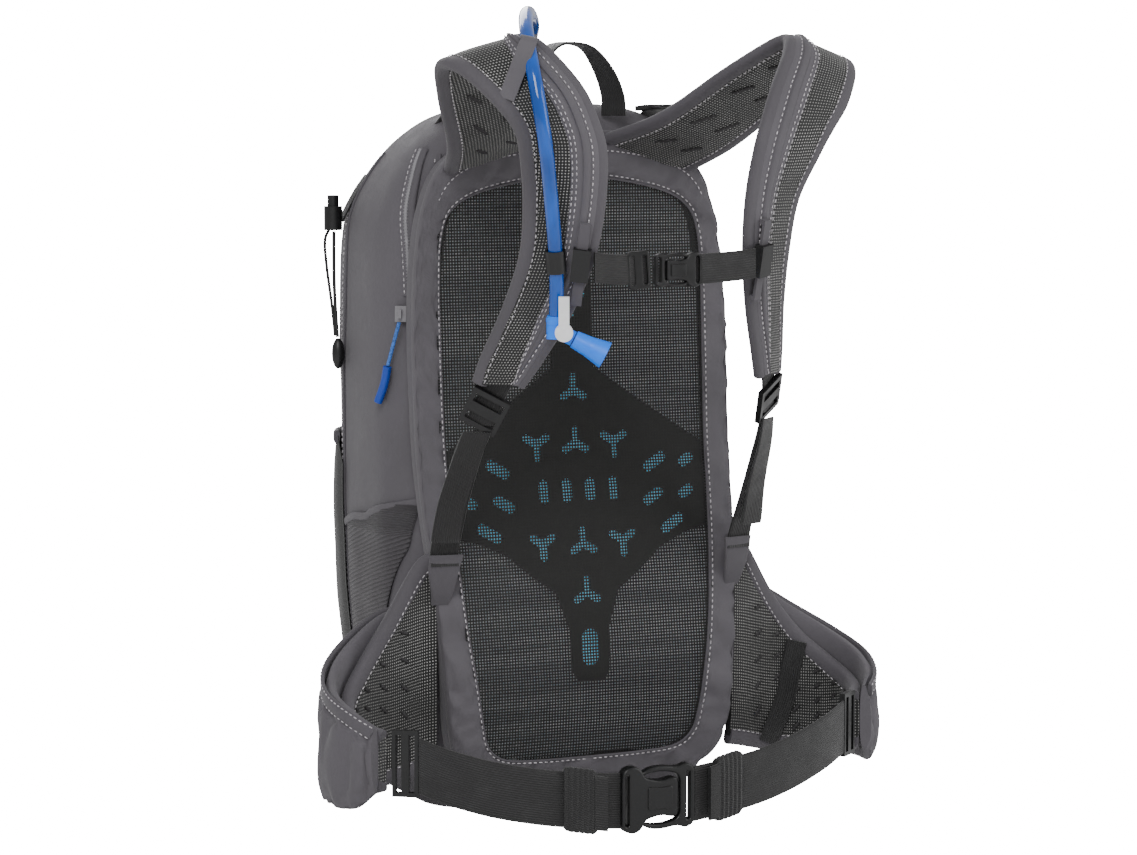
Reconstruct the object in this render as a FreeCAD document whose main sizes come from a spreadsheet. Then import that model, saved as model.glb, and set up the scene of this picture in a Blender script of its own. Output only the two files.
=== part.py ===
"""Ski backpack with drink tube, sternum strap and hip belt.

Frame, in millimetres: +X to the wearer's right, -Y towards the wearer, +Z up, origin at the
centre of the flat base. Every sub-part is written to parts/NODE.step.
"""
import FreeCAD
import Part
import Sketcher
import math
import os

V = FreeCAD.Vector
doc = FreeCAD.newDocument("ski_backpack")
sheet = doc.addObject("Spreadsheet::Sheet", "Sizes")

DRIVING = [
    # body
    ("bag_height", 496.0), ("bag_half_width", 131.0), ("bag_wall", 2.5),
    # layered back panel
    ("border_thick", 12.0), ("mesh_depth", 2.5), ("mesh_thick", 1.6), ("plate_thick", 1.6),
    ("foam_thick", 4.4), ("sheet_thick", 1.2), ("layer_gap", 0.4), ("panel_stack", 14.6),
    # shoulder straps
    ("pad_thick", 9.0), ("strap_web", 20.0), ("web_thick", 1.5),
    # drink tube
    ("tube_dia", 9.5), ("tube_bore", 6.4),
    # sternum strap
    ("rail_long", 56.0), ("rail_wide", 7.0), ("rail_thick", 2.0), ("slider_high", 22.0),
    ("slider_wide", 12.0), ("slider_thick", 7.0), ("run_gap", 0.5),
    # hip belt
    ("belt_web", 38.0), ("belt_thick", 1.7), ("keeper_wide", 23.0), ("keeper_thick", 7.0),
    # side-release buckles: waist, then sternum
    ("wb_high", 46.0), ("wb_thick", 9.0), ("wb_female", 31.0), ("wb_male", 22.0), ("wb_bar", 9.0),
    ("sb_high", 24.0), ("sb_thick", 7.5), ("sb_female", 16.5), ("sb_male", 14.5), ("sb_bar", 5.0),
    # ladder locks: shoulder, belt, load lifter
    ("ll_wide", 27.0), ("ll_long", 28.0), ("ll_thick", 4.0),
    ("bl_wide", 45.0), ("bl_long", 18.0), ("bl_thick", 4.4),
    ("lf_wide", 21.0), ("lf_long", 17.0), ("lf_thick", 3.4),
    # valve
    ("elbow_dia", 12.0), ("lever_dia", 12.0), ("lever_thick", 3.0), ("pivot_long", 7.5),
    ("bite_dia", 14.0),
    # zips and cords
    ("zip_body_long", 11.0), ("zip_body_wide", 8.0), ("zip_body_thick", 4.0),
    ("cord_dia", 2.6), ("grip_dia", 6.0), ("lock_dia", 13.0), ("lock_long", 17.0),
    ("button_dia", 8.0), ("button_long", 7.0),
]
for row, (alias, value) in enumerate(DRIVING, start=1):
    sheet.set("A%d" % row, alias)
    sheet.set("B%d" % row, str(value))
    sheet.setAlias("B%d" % row, alias)
doc.recompute()


def size(alias):
    return float(sheet.get(alias))


# ------------------------------------------------------------------ shared shape helpers
def smooth(points):
    """Interpolated curve through the points."""
    curve = Part.BSplineCurve()
    curve.interpolate(Points=[V(*p) for p in points])
    return curve


def closed_wire(points):
    curve = Part.BSplineCurve()
    curve.interpolate(Points=points, PeriodicFlag=True)
    return Part.Wire(curve.toShape())


def polygon_wire(points):
    return Part.makePolygon(list(points) + [points[0]])


def superellipse(angle, exponent):
    c = math.cos(angle)
    s = math.sin(angle)
    return (math.copysign(abs(c) ** (2.0 / exponent), c),
            math.copysign(abs(s) ** (2.0 / exponent), s))


def evenly(dense, count):
    """Points at even spacing along a closed dense polyline."""
    travelled = [0.0]
    for (a0, b0), (a1, b1) in zip(dense, dense[1:]):
        travelled.append(travelled[-1] + math.hypot(a1 - a0, b1 - b0))
    ring = []
    at = 0
    for k in range(count):
        target = travelled[-1] * k / count
        while travelled[at + 1] < target:
            at += 1
        ring.append(dense[at])
    return ring


def even_ring(half_a, half_b, exponent, count):
    """Even points round a superellipse, starting at the middle of one long side."""
    dense = []
    for k in range(1441):
        c, s = superellipse(2 * math.pi * k / 1440 - math.pi / 2, exponent)
        dense.append((c * half_a, s * half_b))
    return evenly(dense, count)


def shape_node(label, shape, origin=(0, 0, 0)):
    """Plain feature for a free-form solid, placed at its own origin."""
    shift = FreeCAD.Matrix()
    shift.move(V(-origin[0], -origin[1], -origin[2]))
    local = shape.copy()
    local.transformShape(shift, True)
    feature = doc.addObject("Part::Feature", label)
    feature.Label = label
    feature.Shape = local
    feature.Placement = FreeCAD.Placement(V(*origin), FreeCAD.Rotation())
    return feature


def frame_rotation(x_dir, z_dir):
    """Rotation that turns local Z to z_dir and local X as near x_dir as it can."""
    z = V(*z_dir).normalize()
    y = z.cross(V(*x_dir)).normalize()
    return FreeCAD.Rotation(y.cross(z), y, z, "ZXY")


def stations_frames(stations):
    """Centre, width direction and normal at each (edge A, edge B) pair."""
    centres = [(V(*a) + V(*b)) * 0.5 for a, b in stations]
    frames = []
    for i, (a, b) in enumerate(stations):
        before = centres[max(i - 1, 0)]
        after = centres[min(i + 1, len(centres) - 1)]
        run = (after - before).normalize()
        across = V(*b) - V(*a)
        width = across.Length
        across.normalize()
        normal = across.cross(run).normalize()
        frames.append((centres[i], across, normal, width))
    return frames


def spline_through(points, parameters):
    curve = Part.BSplineCurve()
    curve.interpolate(Points=points, Parameters=parameters)
    return curve


def skin_surface(rings):
    """One cubic surface through closed rings: along each ring, then from ring to ring."""
    round_at = [k / len(rings[0]) for k in range(len(rings[0]) + 1)]
    centres = [sum(ring, V(0, 0, 0)) * (1.0 / len(ring)) for ring in rings]
    along_at = [0.0]
    for before, after in zip(centres, centres[1:]):
        along_at.append(along_at[-1] + (after - before).Length)
    around = [spline_through(list(ring) + [ring[0]], round_at) for ring in rings]
    lanes = zip(*[curve.getPoles() for curve in around])
    along = [spline_through(list(lane), along_at) for lane in lanes]
    poles = [list(column) for column in zip(*[curve.getPoles() for curve in along])]
    surface = Part.BSplineSurface()
    surface.buildFromPolesMultsKnots(
        poles, along[0].getMultiplicities(), around[0].getMultiplicities(),
        along[0].getKnots(), around[0].getKnots(), False, False, 3, 3)
    return surface


def skin_solid(rings):
    """Solid whose side is one surface through closed rings of points, capped at both ends."""
    surface = skin_surface(rings)
    faces = [surface.toShape()]
    for u in surface.bounds()[0:2]:
        edge = surface.uIso(u).toShape()
        faces.append(Part.Face(edge.findPlane(0.001), Part.Wire(edge)))
    shell = Part.makeShell(faces)
    shell.sewShape()
    solid = Part.makeSolid(shell)
    if solid.Volume < 0:
        solid.reverse()
    return solid


def pad_loft(stations, thick, corner=3.2, count=40):
    """Padded strip: superellipse section between the two edges of each station."""
    rings = []
    for centre, across, normal, width in stations_frames(stations):
        outline = even_ring(width / 2, thick / 2, corner, count)
        rings.append([centre + across * a + normal * b for a, b in outline])
    return skin_solid(rings)


def ribbon_loft(stations, thick):
    """Flat webbing: rectangular section between the two edges of each station."""
    wires = []
    for centre, across, normal, width in stations_frames(stations):
        a = across * (width / 2)
        n = normal * (thick / 2)
        wires.append(polygon_wire([centre - a - n, centre + a - n, centre + a + n, centre - a + n]))
    return Part.makeLoft(wires, True, False)


def band(path, across_list, width):
    """Stations for a ribbon of one width from its centre path and width directions."""
    rows = []
    for p, d in zip(path, across_list):
        half = V(*d).normalize() * (width / 2)
        rows.append((tuple(V(*p) - half), tuple(V(*p) + half)))
    return rows


def flip(stations):
    return [((-a[0], a[1], a[2]), (-b[0], b[1], b[2])) for a, b in stations]


def rounded_path(points):
    """Straight runs joined by tangent arcs."""
    pts = [V(*p) for p in points]
    edges = []
    last = pts[0]
    for i in range(1, len(pts) - 1):
        u = (pts[i - 1] - pts[i]).normalize()
        w = (pts[i + 1] - pts[i]).normalize()
        half_turn = (math.pi - u.getAngle(w)) / 2
        cut = 0.45 * min((pts[i - 1] - pts[i]).Length, (pts[i + 1] - pts[i]).Length)
        radius = cut / math.tan(half_turn)
        start = pts[i] + u * cut
        end = pts[i] + w * cut
        bisector = (u + w).normalize()
        centre = pts[i] + bisector * (radius / math.cos(half_turn))
        middle = centre - bisector * radius
        edges.append(Part.LineSegment(last, start).toShape())
        edges.append(Part.Arc(start, middle, end).toShape())
        last = end
        print("bend radius %.1f mm, turn %.0f deg" % (radius, math.degrees(2 * half_turn)))
    edges.append(Part.LineSegment(last, pts[-1]).toShape())
    wire = Part.Wire(edges)
    print("cord length %.1f mm" % wire.Length)
    return wire


def tube_solid(points, radius):
    wire = rounded_path(points)
    run = (V(*points[1]) - V(*points[0])).normalize()
    ring = Part.Wire(Part.Circle(V(*points[0]), run, radius).toShape())
    return wire.makePipeShell([ring], True, True)


# ------------------------------------------------------------------ sketch-based hard parts
def origin_plane(body, role):
    return [f for f in body.Origin.OriginFeatures if f.Role == role][0]


def rectangles(body, name, role, boxes):
    """Sketch of axis-aligned rectangles; each box is (left, bottom, width, height) in sheet terms."""
    sketch = body.newObject("Sketcher::SketchObject", name)
    sketch.AttachmentSupport = [(origin_plane(body, role), "")]
    sketch.MapMode = "FlatFace"
    for i, expressions in enumerate(boxes):
        x0 = 30.0 * i + 1.0
        corners = [V(x0, 1, 0), V(x0 + 10, 1, 0), V(x0 + 10, 9, 0), V(x0, 9, 0)]
        for k in range(4):
            sketch.addGeometry(Part.LineSegment(corners[k], corners[(k + 1) % 4]), False)
        g = 4 * i
        for k in range(4):
            sketch.addConstraint(Sketcher.Constraint("Coincident", g + k, 2, g + (k + 1) % 4, 1))
        sketch.addConstraint(Sketcher.Constraint("Horizontal", g))
        sketch.addConstraint(Sketcher.Constraint("Horizontal", g + 2))
        sketch.addConstraint(Sketcher.Constraint("Vertical", g + 1))
        sketch.addConstraint(Sketcher.Constraint("Vertical", g + 3))
        driven = [
            Sketcher.Constraint("DistanceX", -1, 1, g, 1, x0),
            Sketcher.Constraint("DistanceY", -1, 1, g, 1, 1.0),
            Sketcher.Constraint("DistanceX", g, 1, g, 2, 10.0),
            Sketcher.Constraint("DistanceY", g + 1, 1, g + 1, 2, 8.0),
        ]
        for key, constraint, expression in zip("xywh", driven, expressions):
            index = sketch.addConstraint(constraint)
            sketch.renameConstraint(index, "%s%d" % (key, i))
            sketch.setExpression("Constraints.%s%d" % (key, i), expression)
    return sketch


def pad_feature(body, name, sketch, length, midplane=True):
    pad = body.newObject("PartDesign::Pad", name)
    pad.Profile = sketch
    pad.Midplane = midplane
    pad.setExpression("Length", length)
    return pad


def pocket_feature(body, name, sketch, length, midplane=True):
    pocket = body.newObject("PartDesign::Pocket", name)
    pocket.Profile = sketch
    pocket.Midplane = midplane
    pocket.setExpression("Length", length)
    return pocket


def place(feature, origin, rotation=None):
    feature.Placement = FreeCAD.Placement(V(*origin), rotation or FreeCAD.Rotation())


def ladder_lock(label, prefix, origin, rotation):
    """Three-bar webbing adjuster: local X across the webbing, Z along it, Y through it."""
    w = "Sizes.%s_wide" % prefix
    n = "Sizes.%s_long" % prefix
    t = "Sizes.%s_thick" % prefix
    body = doc.addObject("PartDesign::Body", label)
    outer = rectangles(body, label + "_frame", "XZ_Plane", [("-%s/2" % w, "-%s/2" % n, w, n)])
    pad_feature(body, label + "_pad", outer, t)
    slots = rectangles(body, label + "_slots", "XZ_Plane", [
        ("-%s/2+3" % w, "-%s*0.36" % n, "%s-6" % w, "%s*0.22" % n),
        ("-%s/2+3" % w, "%s*0.14" % n, "%s-6" % w, "%s*0.22" % n)])
    pocket_feature(body, label + "_cut", slots, t + "*3")
    body.Label = label
    place(body, origin, rotation)
    return body


def buckle_female(label, prefix, origin, rotation):
    """Housing of a side-release buckle: mouth at local X 0, webbing bar at -X."""
    high = "Sizes.%s_high" % prefix
    thick = "Sizes.%s_thick" % prefix
    long = "Sizes.%s_female" % prefix
    bar = "Sizes.%s_bar" % prefix
    body = doc.addObject("PartDesign::Body", label)
    outer = rectangles(body, label + "_plan", "XZ_Plane",
                       [("-%s-0.4" % long, "-%s/2" % high, long, high)])
    pad_feature(body, label + "_block", outer, thick)
    mouth = rectangles(body, label + "_mouth", "YZ_Plane",
                       [("-(%s-3)/2" % thick, "-(%s-6)/2" % high, thick + "-3", high + "-6")])
    pocket_feature(body, label + "_cavity", mouth, "%s-%s" % (long, bar), False)
    slot = rectangles(body, label + "_slot", "XZ_Plane",
                      [("-%s+%s*0.25" % (long, bar), "-(%s-7)/2" % high, bar + "*0.42", high + "-7")])
    pocket_feature(body, label + "_web_slot", slot, thick + "*3")
    sides = rectangles(body, label + "_window", "XY_Plane",
                       [("-%s*0.62" % long, "-(%s-3)/2" % thick, long + "*0.34", thick + "-3")])
    pocket_feature(body, label + "_windows", sides, high + "*2")
    body.Label = label
    place(body, origin, rotation)
    return body


def buckle_male(label, prefix, origin, rotation):
    """Pronged half: frame with a webbing slot at +X, tongue and two prongs towards -X."""
    high = "Sizes.%s_high" % prefix
    thick = "Sizes.%s_thick" % prefix
    reach = "(Sizes.%s_female-Sizes.%s_bar-1.2)" % (prefix, prefix)
    long = "Sizes.%s_male" % prefix
    inner = "(Sizes.%s_thick-4)" % prefix
    body = doc.addObject("PartDesign::Body", label)
    outer = rectangles(body, label + "_plan", "XZ_Plane",
                       [("0.4", "-%s/2+0.5" % high, long, high + "-1")])
    pad_feature(body, label + "_frame", outer, thick + "-1")
    slots = rectangles(body, label + "_slot", "XZ_Plane", [
        ("0.4+%s*0.30" % long, "-(%s-7)/2" % high, long + "*0.18", high + "-7"),
        ("0.4+%s*0.66" % long, "-(%s-7)/2" % high, long + "*0.18", high + "-7")])
    pocket_feature(body, label + "_web_slots", slots, thick + "*3")
    fingers = rectangles(body, label + "_fingers", "XZ_Plane", [
        ("-" + reach, "-%s*0.16" % high, reach + "+0.9", high + "*0.32"),
        ("-" + reach, "%s*0.5-3.6-%s*0.12" % (high, high), reach + "+0.9", high + "*0.12"),
        ("-" + reach, "-%s*0.5+3.6" % high, reach + "+0.9", high + "*0.12")])
    pad_feature(body, label + "_prongs", fingers, inner)
    body.Label = label
    place(body, origin, rotation)
    return body


def primitive(kind, name, **expressions):
    feature = doc.addObject("Part::" + kind, name)
    for key, expression in expressions.items():
        feature.setExpression(key, expression)
    return feature


# ------------------------------------------------------------------ back panel profile
PROFILE = [(0, -104), (28, -112), (52, -117), (85, -119.5), (120, -117), (178, -108), (230, -97),
           (268, -91), (345, -86), (405, -83), (450, -82), (500, -82)]
profile_curve = smooth([(0, y, z) for z, y in PROFILE])


def panel_y(z):
    """Wearer-side face of the panel border at height z."""
    low = profile_curve.FirstParameter
    high = profile_curve.LastParameter
    for _ in range(40):
        middle = (low + high) / 2
        if profile_curve.value(middle).z < z:
            low = middle
        else:
            high = middle
    return profile_curve.value(low).y


def panel_slab(near, far):
    """Slab between two depths behind the border face, 300 wide."""
    zs = [6 + 486.0 * i / 24 for i in range(25)]
    front = smooth([(-150, panel_y(z) + near, z) for z in zs])
    back = smooth([(-150, panel_y(z) + far, z) for z in zs])
    ends = [Part.LineSegment(front.value(front.LastParameter), back.value(back.LastParameter)),
            Part.LineSegment(back.value(back.FirstParameter), front.value(front.FirstParameter))]
    wire = Part.Wire([front.toShape(), ends[0].toShape(), back.toShape(), ends[1].toShape()])
    return Part.Face(wire).extrude(V(300, 0, 0))


def outline_prism(half_outline, inset=0.0):
    """Prism through the panel from the right half of its outline, listed bottom to top."""
    right = [(max(x - inset, 0), z) for x, z in half_outline]
    low = min(z for _, z in half_outline)
    high = max(z for _, z in half_outline)
    middle = (low + high) / 2
    right = [(x, z + inset * (middle - z) / (middle - low)) for x, z in right]
    ring = right + [(-x, z) for x, z in reversed(right[1:-1])]
    wire = closed_wire([V(x, -150, z) for x, z in ring])
    return Part.Face(wire).extrude(V(0, 120, 0))


BORDER = [(0, 22), (50, 23), (84, 27), (101, 40), (108, 62), (111, 90), (114, 130), (117, 175),
          (120, 225), (121, 280), (121, 340), (118, 390), (111, 428), (98, 455), (75, 470), (40, 477),
          (0, 479)]
WINDOW = [(0, 39), (40, 39.5), (66, 42), (79, 52), (84, 70), (88, 95), (93, 130), (97, 175),
          (100, 225), (101, 270), (101, 320), (99, 370), (95, 405), (87, 428), (70, 441), (36, 447),
          (0, 448)]

gap = size("layer_gap")
mesh_near = size("mesh_depth")
plate_near = mesh_near + size("mesh_thick") + gap
foam_near = plate_near + size("plate_thick") + gap
sheet_near = size("border_thick") + gap
window_core = outline_prism(WINDOW, 0.5)

border = panel_slab(0, size("border_thick")).common(outline_prism(BORDER)).cut(outline_prism(WINDOW))
shape_node("back_border", border, (0, -100, 250))
back_mesh = panel_slab(mesh_near, mesh_near + size("mesh_thick")).common(window_core)
shape_node("back_mesh", back_mesh, (0, -95, 250))

PLATE = [(0, 94), (10, 94), (14, 100), (15, 130), (24, 156), (41, 168), (60, 184), (80, 193),
         (97.5, 197), (99.5, 256), (93, 260), (73, 273), (52, 287), (16, 312), (15, 404), (0, 404)]
VENT_ARM = 12.0
VENT_WIDE = 6.0
SLOT_WIDE = 8.0
SLOT_LEAN = 30.0


def stadium(start, end, wide):
    """Cutter for a round-ended slot between two (x, z) points, through the whole panel."""
    a = V(start[0], -150, start[1])
    b = V(end[0], -150, end[1])
    along = (b - a).normalize() * (wide / 2)
    across = V(-along.z, 0, along.x)
    wire = Part.Wire([
        Part.LineSegment(a + across, b + across).toShape(),
        Part.Arc(b + across, b + along, b - across).toShape(),
        Part.LineSegment(b - across, a - across).toShape(),
        Part.Arc(a - across, a - along, a + across).toShape()])
    return Part.Face(wire).extrude(V(0, 120, 0))


def vent_y(x, z, up):
    """Three-armed vent cut-out centred at x, z; up is 1 with one arm up and -1 with it down."""
    reach = VENT_ARM - VENT_WIDE / 2
    arms = []
    for turn in (90 * up, 90 * up + 120, 90 * up + 240):
        a = math.radians(turn)
        arms.append(stadium((x, z), (x + reach * math.cos(a), z + reach * math.sin(a)), VENT_WIDE))
    return arms


def vent_slot(x, z, long, wide, lean):
    a = math.radians(lean)
    dx = math.cos(a) * (long - wide) / 2
    dz = math.sin(a) * (long - wide) / 2
    return stadium((x - dx, z - dz), (x + dx, z + dz), wide)


ring = PLATE + [(-x, z) for x, z in reversed(PLATE[1:-1])]
plate_outline = Part.Face(polygon_wire([V(x, -150, z) for x, z in ring])).extrude(V(0, 120, 0))
vents = []
for x, z, up in ((0, 359, -1), (0, 296, 1), (-30, 259, -1), (0, 259, 1), (30, 259, -1), (-31, 190, -1),
                 (0, 189, 1), (31, 190, -1), (0, 155, 1)):
    vents += vent_y(x, z, up)
for side in (-1, 1):
    for x, z, long in ((61, 243, 20), (86, 243.5, 13), (58, 219, 18), (71, 199.5, 21), (84, 221, 13)):
        vents.append(vent_slot(side * x, z, long, SLOT_WIDE, side * SLOT_LEAN))
    for x in (9, 27):
        vents.append(vent_slot(side * x, 226, 17, SLOT_WIDE, 90))
vents.append(vent_slot(0, 117, 26, 13, 90))
plate = panel_slab(plate_near, plate_near + size("plate_thick")).common(plate_outline)
shape_node("back_vent_plate", plate.cut(vents[0].multiFuse(vents[1:])), (0, -92, 240))

foam = panel_slab(foam_near, foam_near + size("foam_thick")).common(window_core)
shape_node("back_foam_core", foam, (0, -90, 250))
stiffener = panel_slab(sheet_near, sheet_near + size("sheet_thick")).common(outline_prism(BORDER, 5))
shape_node("back_frame_sheet", stiffener, (0, -84, 250))

# ------------------------------------------------------------------ bag body
HEIGHT = size("bag_height")
HALF = size("bag_half_width") / 131.0
STACK = size("panel_stack")
# height, half width, front edge, and how far the back wall is moved in from the panel stack
LEVELS = [(0, 92, 58, 16), (3, 101, 70, 10), (12, 110, 79, 5), (32, 119, 85, 0.4), (60, 123.5, 87, 0),
          (85, 126.5, 88.5, 0), (115, 129, 90, 0), (150, 131, 91, 0), (190, 132, 91.5, 0),
          (230, 132.5, 91.5, 0), (310, 133, 90, 0), (370, 133, 88, 0), (400, 132, 85, 0),
          (422, 128.5, 79, 0), (445, 118, 66, 0), (462, 107, 54, 0), (474, 96, 42, 2), (485, 82, 26, 6),
          (492, 64, 12, 11), (496, 40, -2, 18)]


def bag_ring(level, inset, count=48):
    z, half, front, back_in = level
    half = half * HALF
    back = panel_y(z) + STACK + back_in
    z = z * HEIGHT / 496.0
    z = inset + z * (HEIGHT - 2 * inset) / HEIGHT
    waist = back + 0.42 * (front - back)
    dense = []
    for k in range(1441):
        angle = 2 * math.pi * k / 1440 - math.pi / 2
        if math.sin(angle) < 0:
            c, s = superellipse(angle, 4.4)
            depth = waist - back - inset
        else:
            c, s = superellipse(angle, 2.9)
            depth = front - waist - inset
        dense.append((c * (half - inset), waist + s * depth))
    return [V(x, y, z) for x, y in evenly(dense, count)]


def bag_loft(inset):
    return skin_solid([bag_ring(level, inset) for level in LEVELS])


def block(low, high):
    return Part.makeBox(high[0] - low[0], high[1] - low[1], high[2] - low[2], V(*low))


bag_skin = bag_loft(0.0)
shape_node("main_bag", bag_skin.cut(bag_loft(size("bag_wall"))), (0, 0, 0))

pocket_near = bag_loft(-1.6)
pocket_far = bag_loft(-4.0)
front_zone = block((-150, 20, 46), (150, 120, 258)).cut(
    Part.Face(polygon_wire([V(-150, 20, 240), V(-150, 20, 270), V(-150, 60, 270)])).extrude(V(300, 0, 0)))
shape_node("front_pocket_panel", pocket_far.cut(pocket_near).common(front_zone), (0, 80, 150))


def side_pocket(label, side):
    """Stretch panel over the lower side; its hem drops towards the front."""
    outline = polygon_wire([V(0, -74, 190), V(0, -74, 224), V(0, 15, 200), V(0, 15, 52), V(0, -20, 52)])
    zone = Part.Face(outline).extrude(V(side * 150, 0, 0))
    outside = block((90, -90, 30), (150, 30, 240)) if side > 0 else block((-150, -90, 30), (-90, 30, 240))
    skin = bag_loft(-1.5).cut(bag_loft(-0.4)).common(zone).common(outside)
    return shape_node(label, skin, (side * 130, -20, 130))


side_pocket("side_pocket_left", -1)
side_pocket("side_pocket_right", 1)

# ------------------------------------------------------------------ shoulder straps
PAD = [((26, -86.5, 475), (95, -86.5, 453)), ((46, -128, 489), (110, -120, 470)),
       ((72, -176, 520), (134, -160, 503)), ((93, -212, 541), (149, -194, 523)),
       ((88, -232, 534), (145, -222, 520)), ((70, -247, 508), (129, -242, 500)),
       ((60, -251, 484), (117, -245, 484)), ((55, -251, 466), (110, -239, 467)),
       ((53, -245, 436), (101, -224, 435)), ((56, -236, 400), (99, -214, 400)),
       ((66, -222, 363), (104, -197, 363)), ((80, -205, 330), (112, -180, 330)),
       ((88, -194.5, 313), (115, -172.5, 313))]
pad_thick = size("pad_thick")
shape_node("shoulder_pad_right", pad_loft(PAD, pad_thick), (79, -124, 480))
shape_node("shoulder_pad_left", pad_loft(flip(PAD), pad_thick), (-79, -124, 480))

LOCK = (107.5, -174.0, 294)
LOCK_ACROSS = (0.78, 0.63, 0.02)
WEB_PATH = [(110.0, -164.5, 277), (112, -155, 262), (114, -135, 226), (114, -119, 192)]
web_across = [LOCK_ACROSS, (0.82, 0.57, 0), (0.9, 0.42, 0), (0.97, 0.2, 0)]
LOWER_WEB = band(WEB_PATH, web_across, size("strap_web"))
web_thick = size("web_thick")
shape_node("strap_webbing_right", ribbon_loft(LOWER_WEB, web_thick), (112, -155, 262))
shape_node("strap_webbing_left", ribbon_loft(flip(LOWER_WEB), web_thick), (-112, -155, 262))

down = V(*WEB_PATH[1]) - V(100, -190, 312)
for side, label in ((1, "ladder_lock_right"), (-1, "ladder_lock_left")):
    turn = frame_rotation((side * LOCK_ACROSS[0], LOCK_ACROSS[1], side * 0.02),
                          (-side * down.x, -down.y, -down.z))
    ladder_lock(label, "ll", (side * LOCK[0], LOCK[1], LOCK[2]), turn)

for side, label in ((1, "anchor_tab_right"), (-1, "anchor_tab_left")):
    tab = [((side * 101, -121.8, 190), (side * 124, -117.5, 190)),
           ((side * 103, -120.8, 178), (side * 124, -116.5, 178)),
           ((side * 106, -122.0, 164), (side * 120, -119.0, 164))]
    shape_node(label, ribbon_loft(tab, 2.6), (side * 113, -118, 178))

# ------------------------------------------------------------------ load lifters
for side, word in ((1, "right"), (-1, "left")):
    path = [(side * 76, -68, 494), (side * 79, -86, 495), (side * 85, -118, 500), (side * 92, -140, 503)]
    rows = band(path, [(1, 0.12 * side, 0)] * 4, 15.0)
    shape_node("load_lifter_web_" + word, ribbon_loft(rows, web_thick), (side * 82, -100, 497))
    ladder_lock("load_lifter_buckle_" + word, "lf", (side * 75, -58.5, 493.5),
                frame_rotation((1, 0, 0), (0, -1, 0.08)))

# ------------------------------------------------------------------ haul loop
LOOP = [(-30, -70, 488), (-29, -70, 505), (-22, -70, 524), (-10, -70, 536.5), (4, -70, 539),
        (18, -70, 535), (30, -70, 520), (37, -70, 503), (38, -70, 488)]
TWIST = [62, 56, 66, 84, 90, 84, 66, 56, 50]
loop_across = [(math.cos(math.radians(a)), -math.sin(math.radians(a)), 0) for a in TWIST]
shape_node("haul_loop", ribbon_loft(band(LOOP, loop_across, 19.0), 2.0), (0, -70, 488))

# ------------------------------------------------------------------ drink tube and valve
TUBE = [(-50, -68, 488), (-48, -86, 517), (-47, -122, 546), (-68, -160, 560), (-92, -205, 556),
        (-106, -242, 536), (-107, -260, 502), (-101, -259, 470), (-92, -246, 440), (-85, -237, 410),
        (-81, -232, 382), (-80.2, -228.4, 358.1)]
tube = tube_solid(TUBE, size("tube_dia") / 2).cut(tube_solid(TUBE, size("tube_bore") / 2))
shape_node("drink_tube", tube, TUBE[0])

port = primitive("Cylinder", "port_flange", Radius="Sizes.tube_dia*0.95", Height="4")
port_bore = primitive("Cylinder", "port_bore", Radius="Sizes.tube_dia/2+0.4", Height="30")
port_bore.Placement.Base = V(0, 0, -10)
tube_port = doc.addObject("Part::Cut", "tube_port")
tube_port.Base = port
tube_port.Tool = port_bore
run = V(*TUBE[1]) - V(*TUBE[0])
place(tube_port, TUBE[0], FreeCAD.Rotation(V(0, 0, 1), run))
tube_port.Label = "tube_port"

clip_run = V(*TUBE[9]) - V(*TUBE[10])
clip_at = V(*TUBE[9]) * 0.52 + V(*TUBE[10]) * 0.48 + V(0.1, 0.4, 0)
clip_shell = primitive("Cylinder", "clip_shell", Radius="Sizes.tube_dia/2+2", Height="15")
clip_bore = primitive("Cylinder", "clip_bore", Radius="Sizes.tube_dia/2+0.6", Height="40")
clip_bore.Placement.Base = V(0, 0, -10)
pad_side = primitive("Box", "clip_open_side", Length="10", Width="40", Height="60")
facing_pad = FreeCAD.Rotation(V(0, 0, 1), 63)
pad_side.Placement = FreeCAD.Placement(facing_pad.multVec(V(4.8, -20, -20)), facing_pad)
clip_away = doc.addObject("Part::MultiFuse", "clip_away")
clip_away.Shapes = [clip_bore, pad_side]
tube_clip = doc.addObject("Part::Cut", "tube_clip")
tube_clip.Base = clip_shell
tube_clip.Tool = clip_away
place(tube_clip, tuple(clip_at - V(clip_run).normalize() * 7.5), FreeCAD.Rotation(V(0, 0, 1), clip_run))
tube_clip.Label = "tube_clip"

# elbow with a spigot, turning lever on its side, flared bite valve
ELBOW = (-80.2, -227.8, 351.2)
BITE_AXIS = V(0.81, -0.38, -0.46)
elbow_barrel = primitive("Cylinder", "elbow_barrel", Radius="Sizes.elbow_dia/2",
                         Height="Sizes.elbow_dia")
elbow_barrel.setExpression(".Placement.Base.z", "-Sizes.elbow_dia/2")
elbow_neck = primitive("Cylinder", "elbow_neck", Radius="Sizes.bite_dia*0.36", Height="13")
elbow_neck.Placement.Rotation = FreeCAD.Rotation(V(0, 0, 1), BITE_AXIS)
LEVER_AXIS = V(-0.42, -0.905, -0.14)
PIVOT_ASIDE = V(5.0, -2.3, 0)
PIVOT_REACH = 7.8
pivot_boss = primitive("Cylinder", "pivot_boss", Radius="Sizes.lever_dia*0.25",
                       Height="Sizes.pivot_long")
pivot_boss.Placement = FreeCAD.Placement(PIVOT_ASIDE, FreeCAD.Rotation(V(0, 0, 1), LEVER_AXIS))
valve_elbow = doc.addObject("Part::MultiFuse", "valve_elbow")
valve_elbow.Shapes = [elbow_barrel, elbow_neck, pivot_boss]
place(valve_elbow, ELBOW)
valve_elbow.Label = "valve_elbow"

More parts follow.
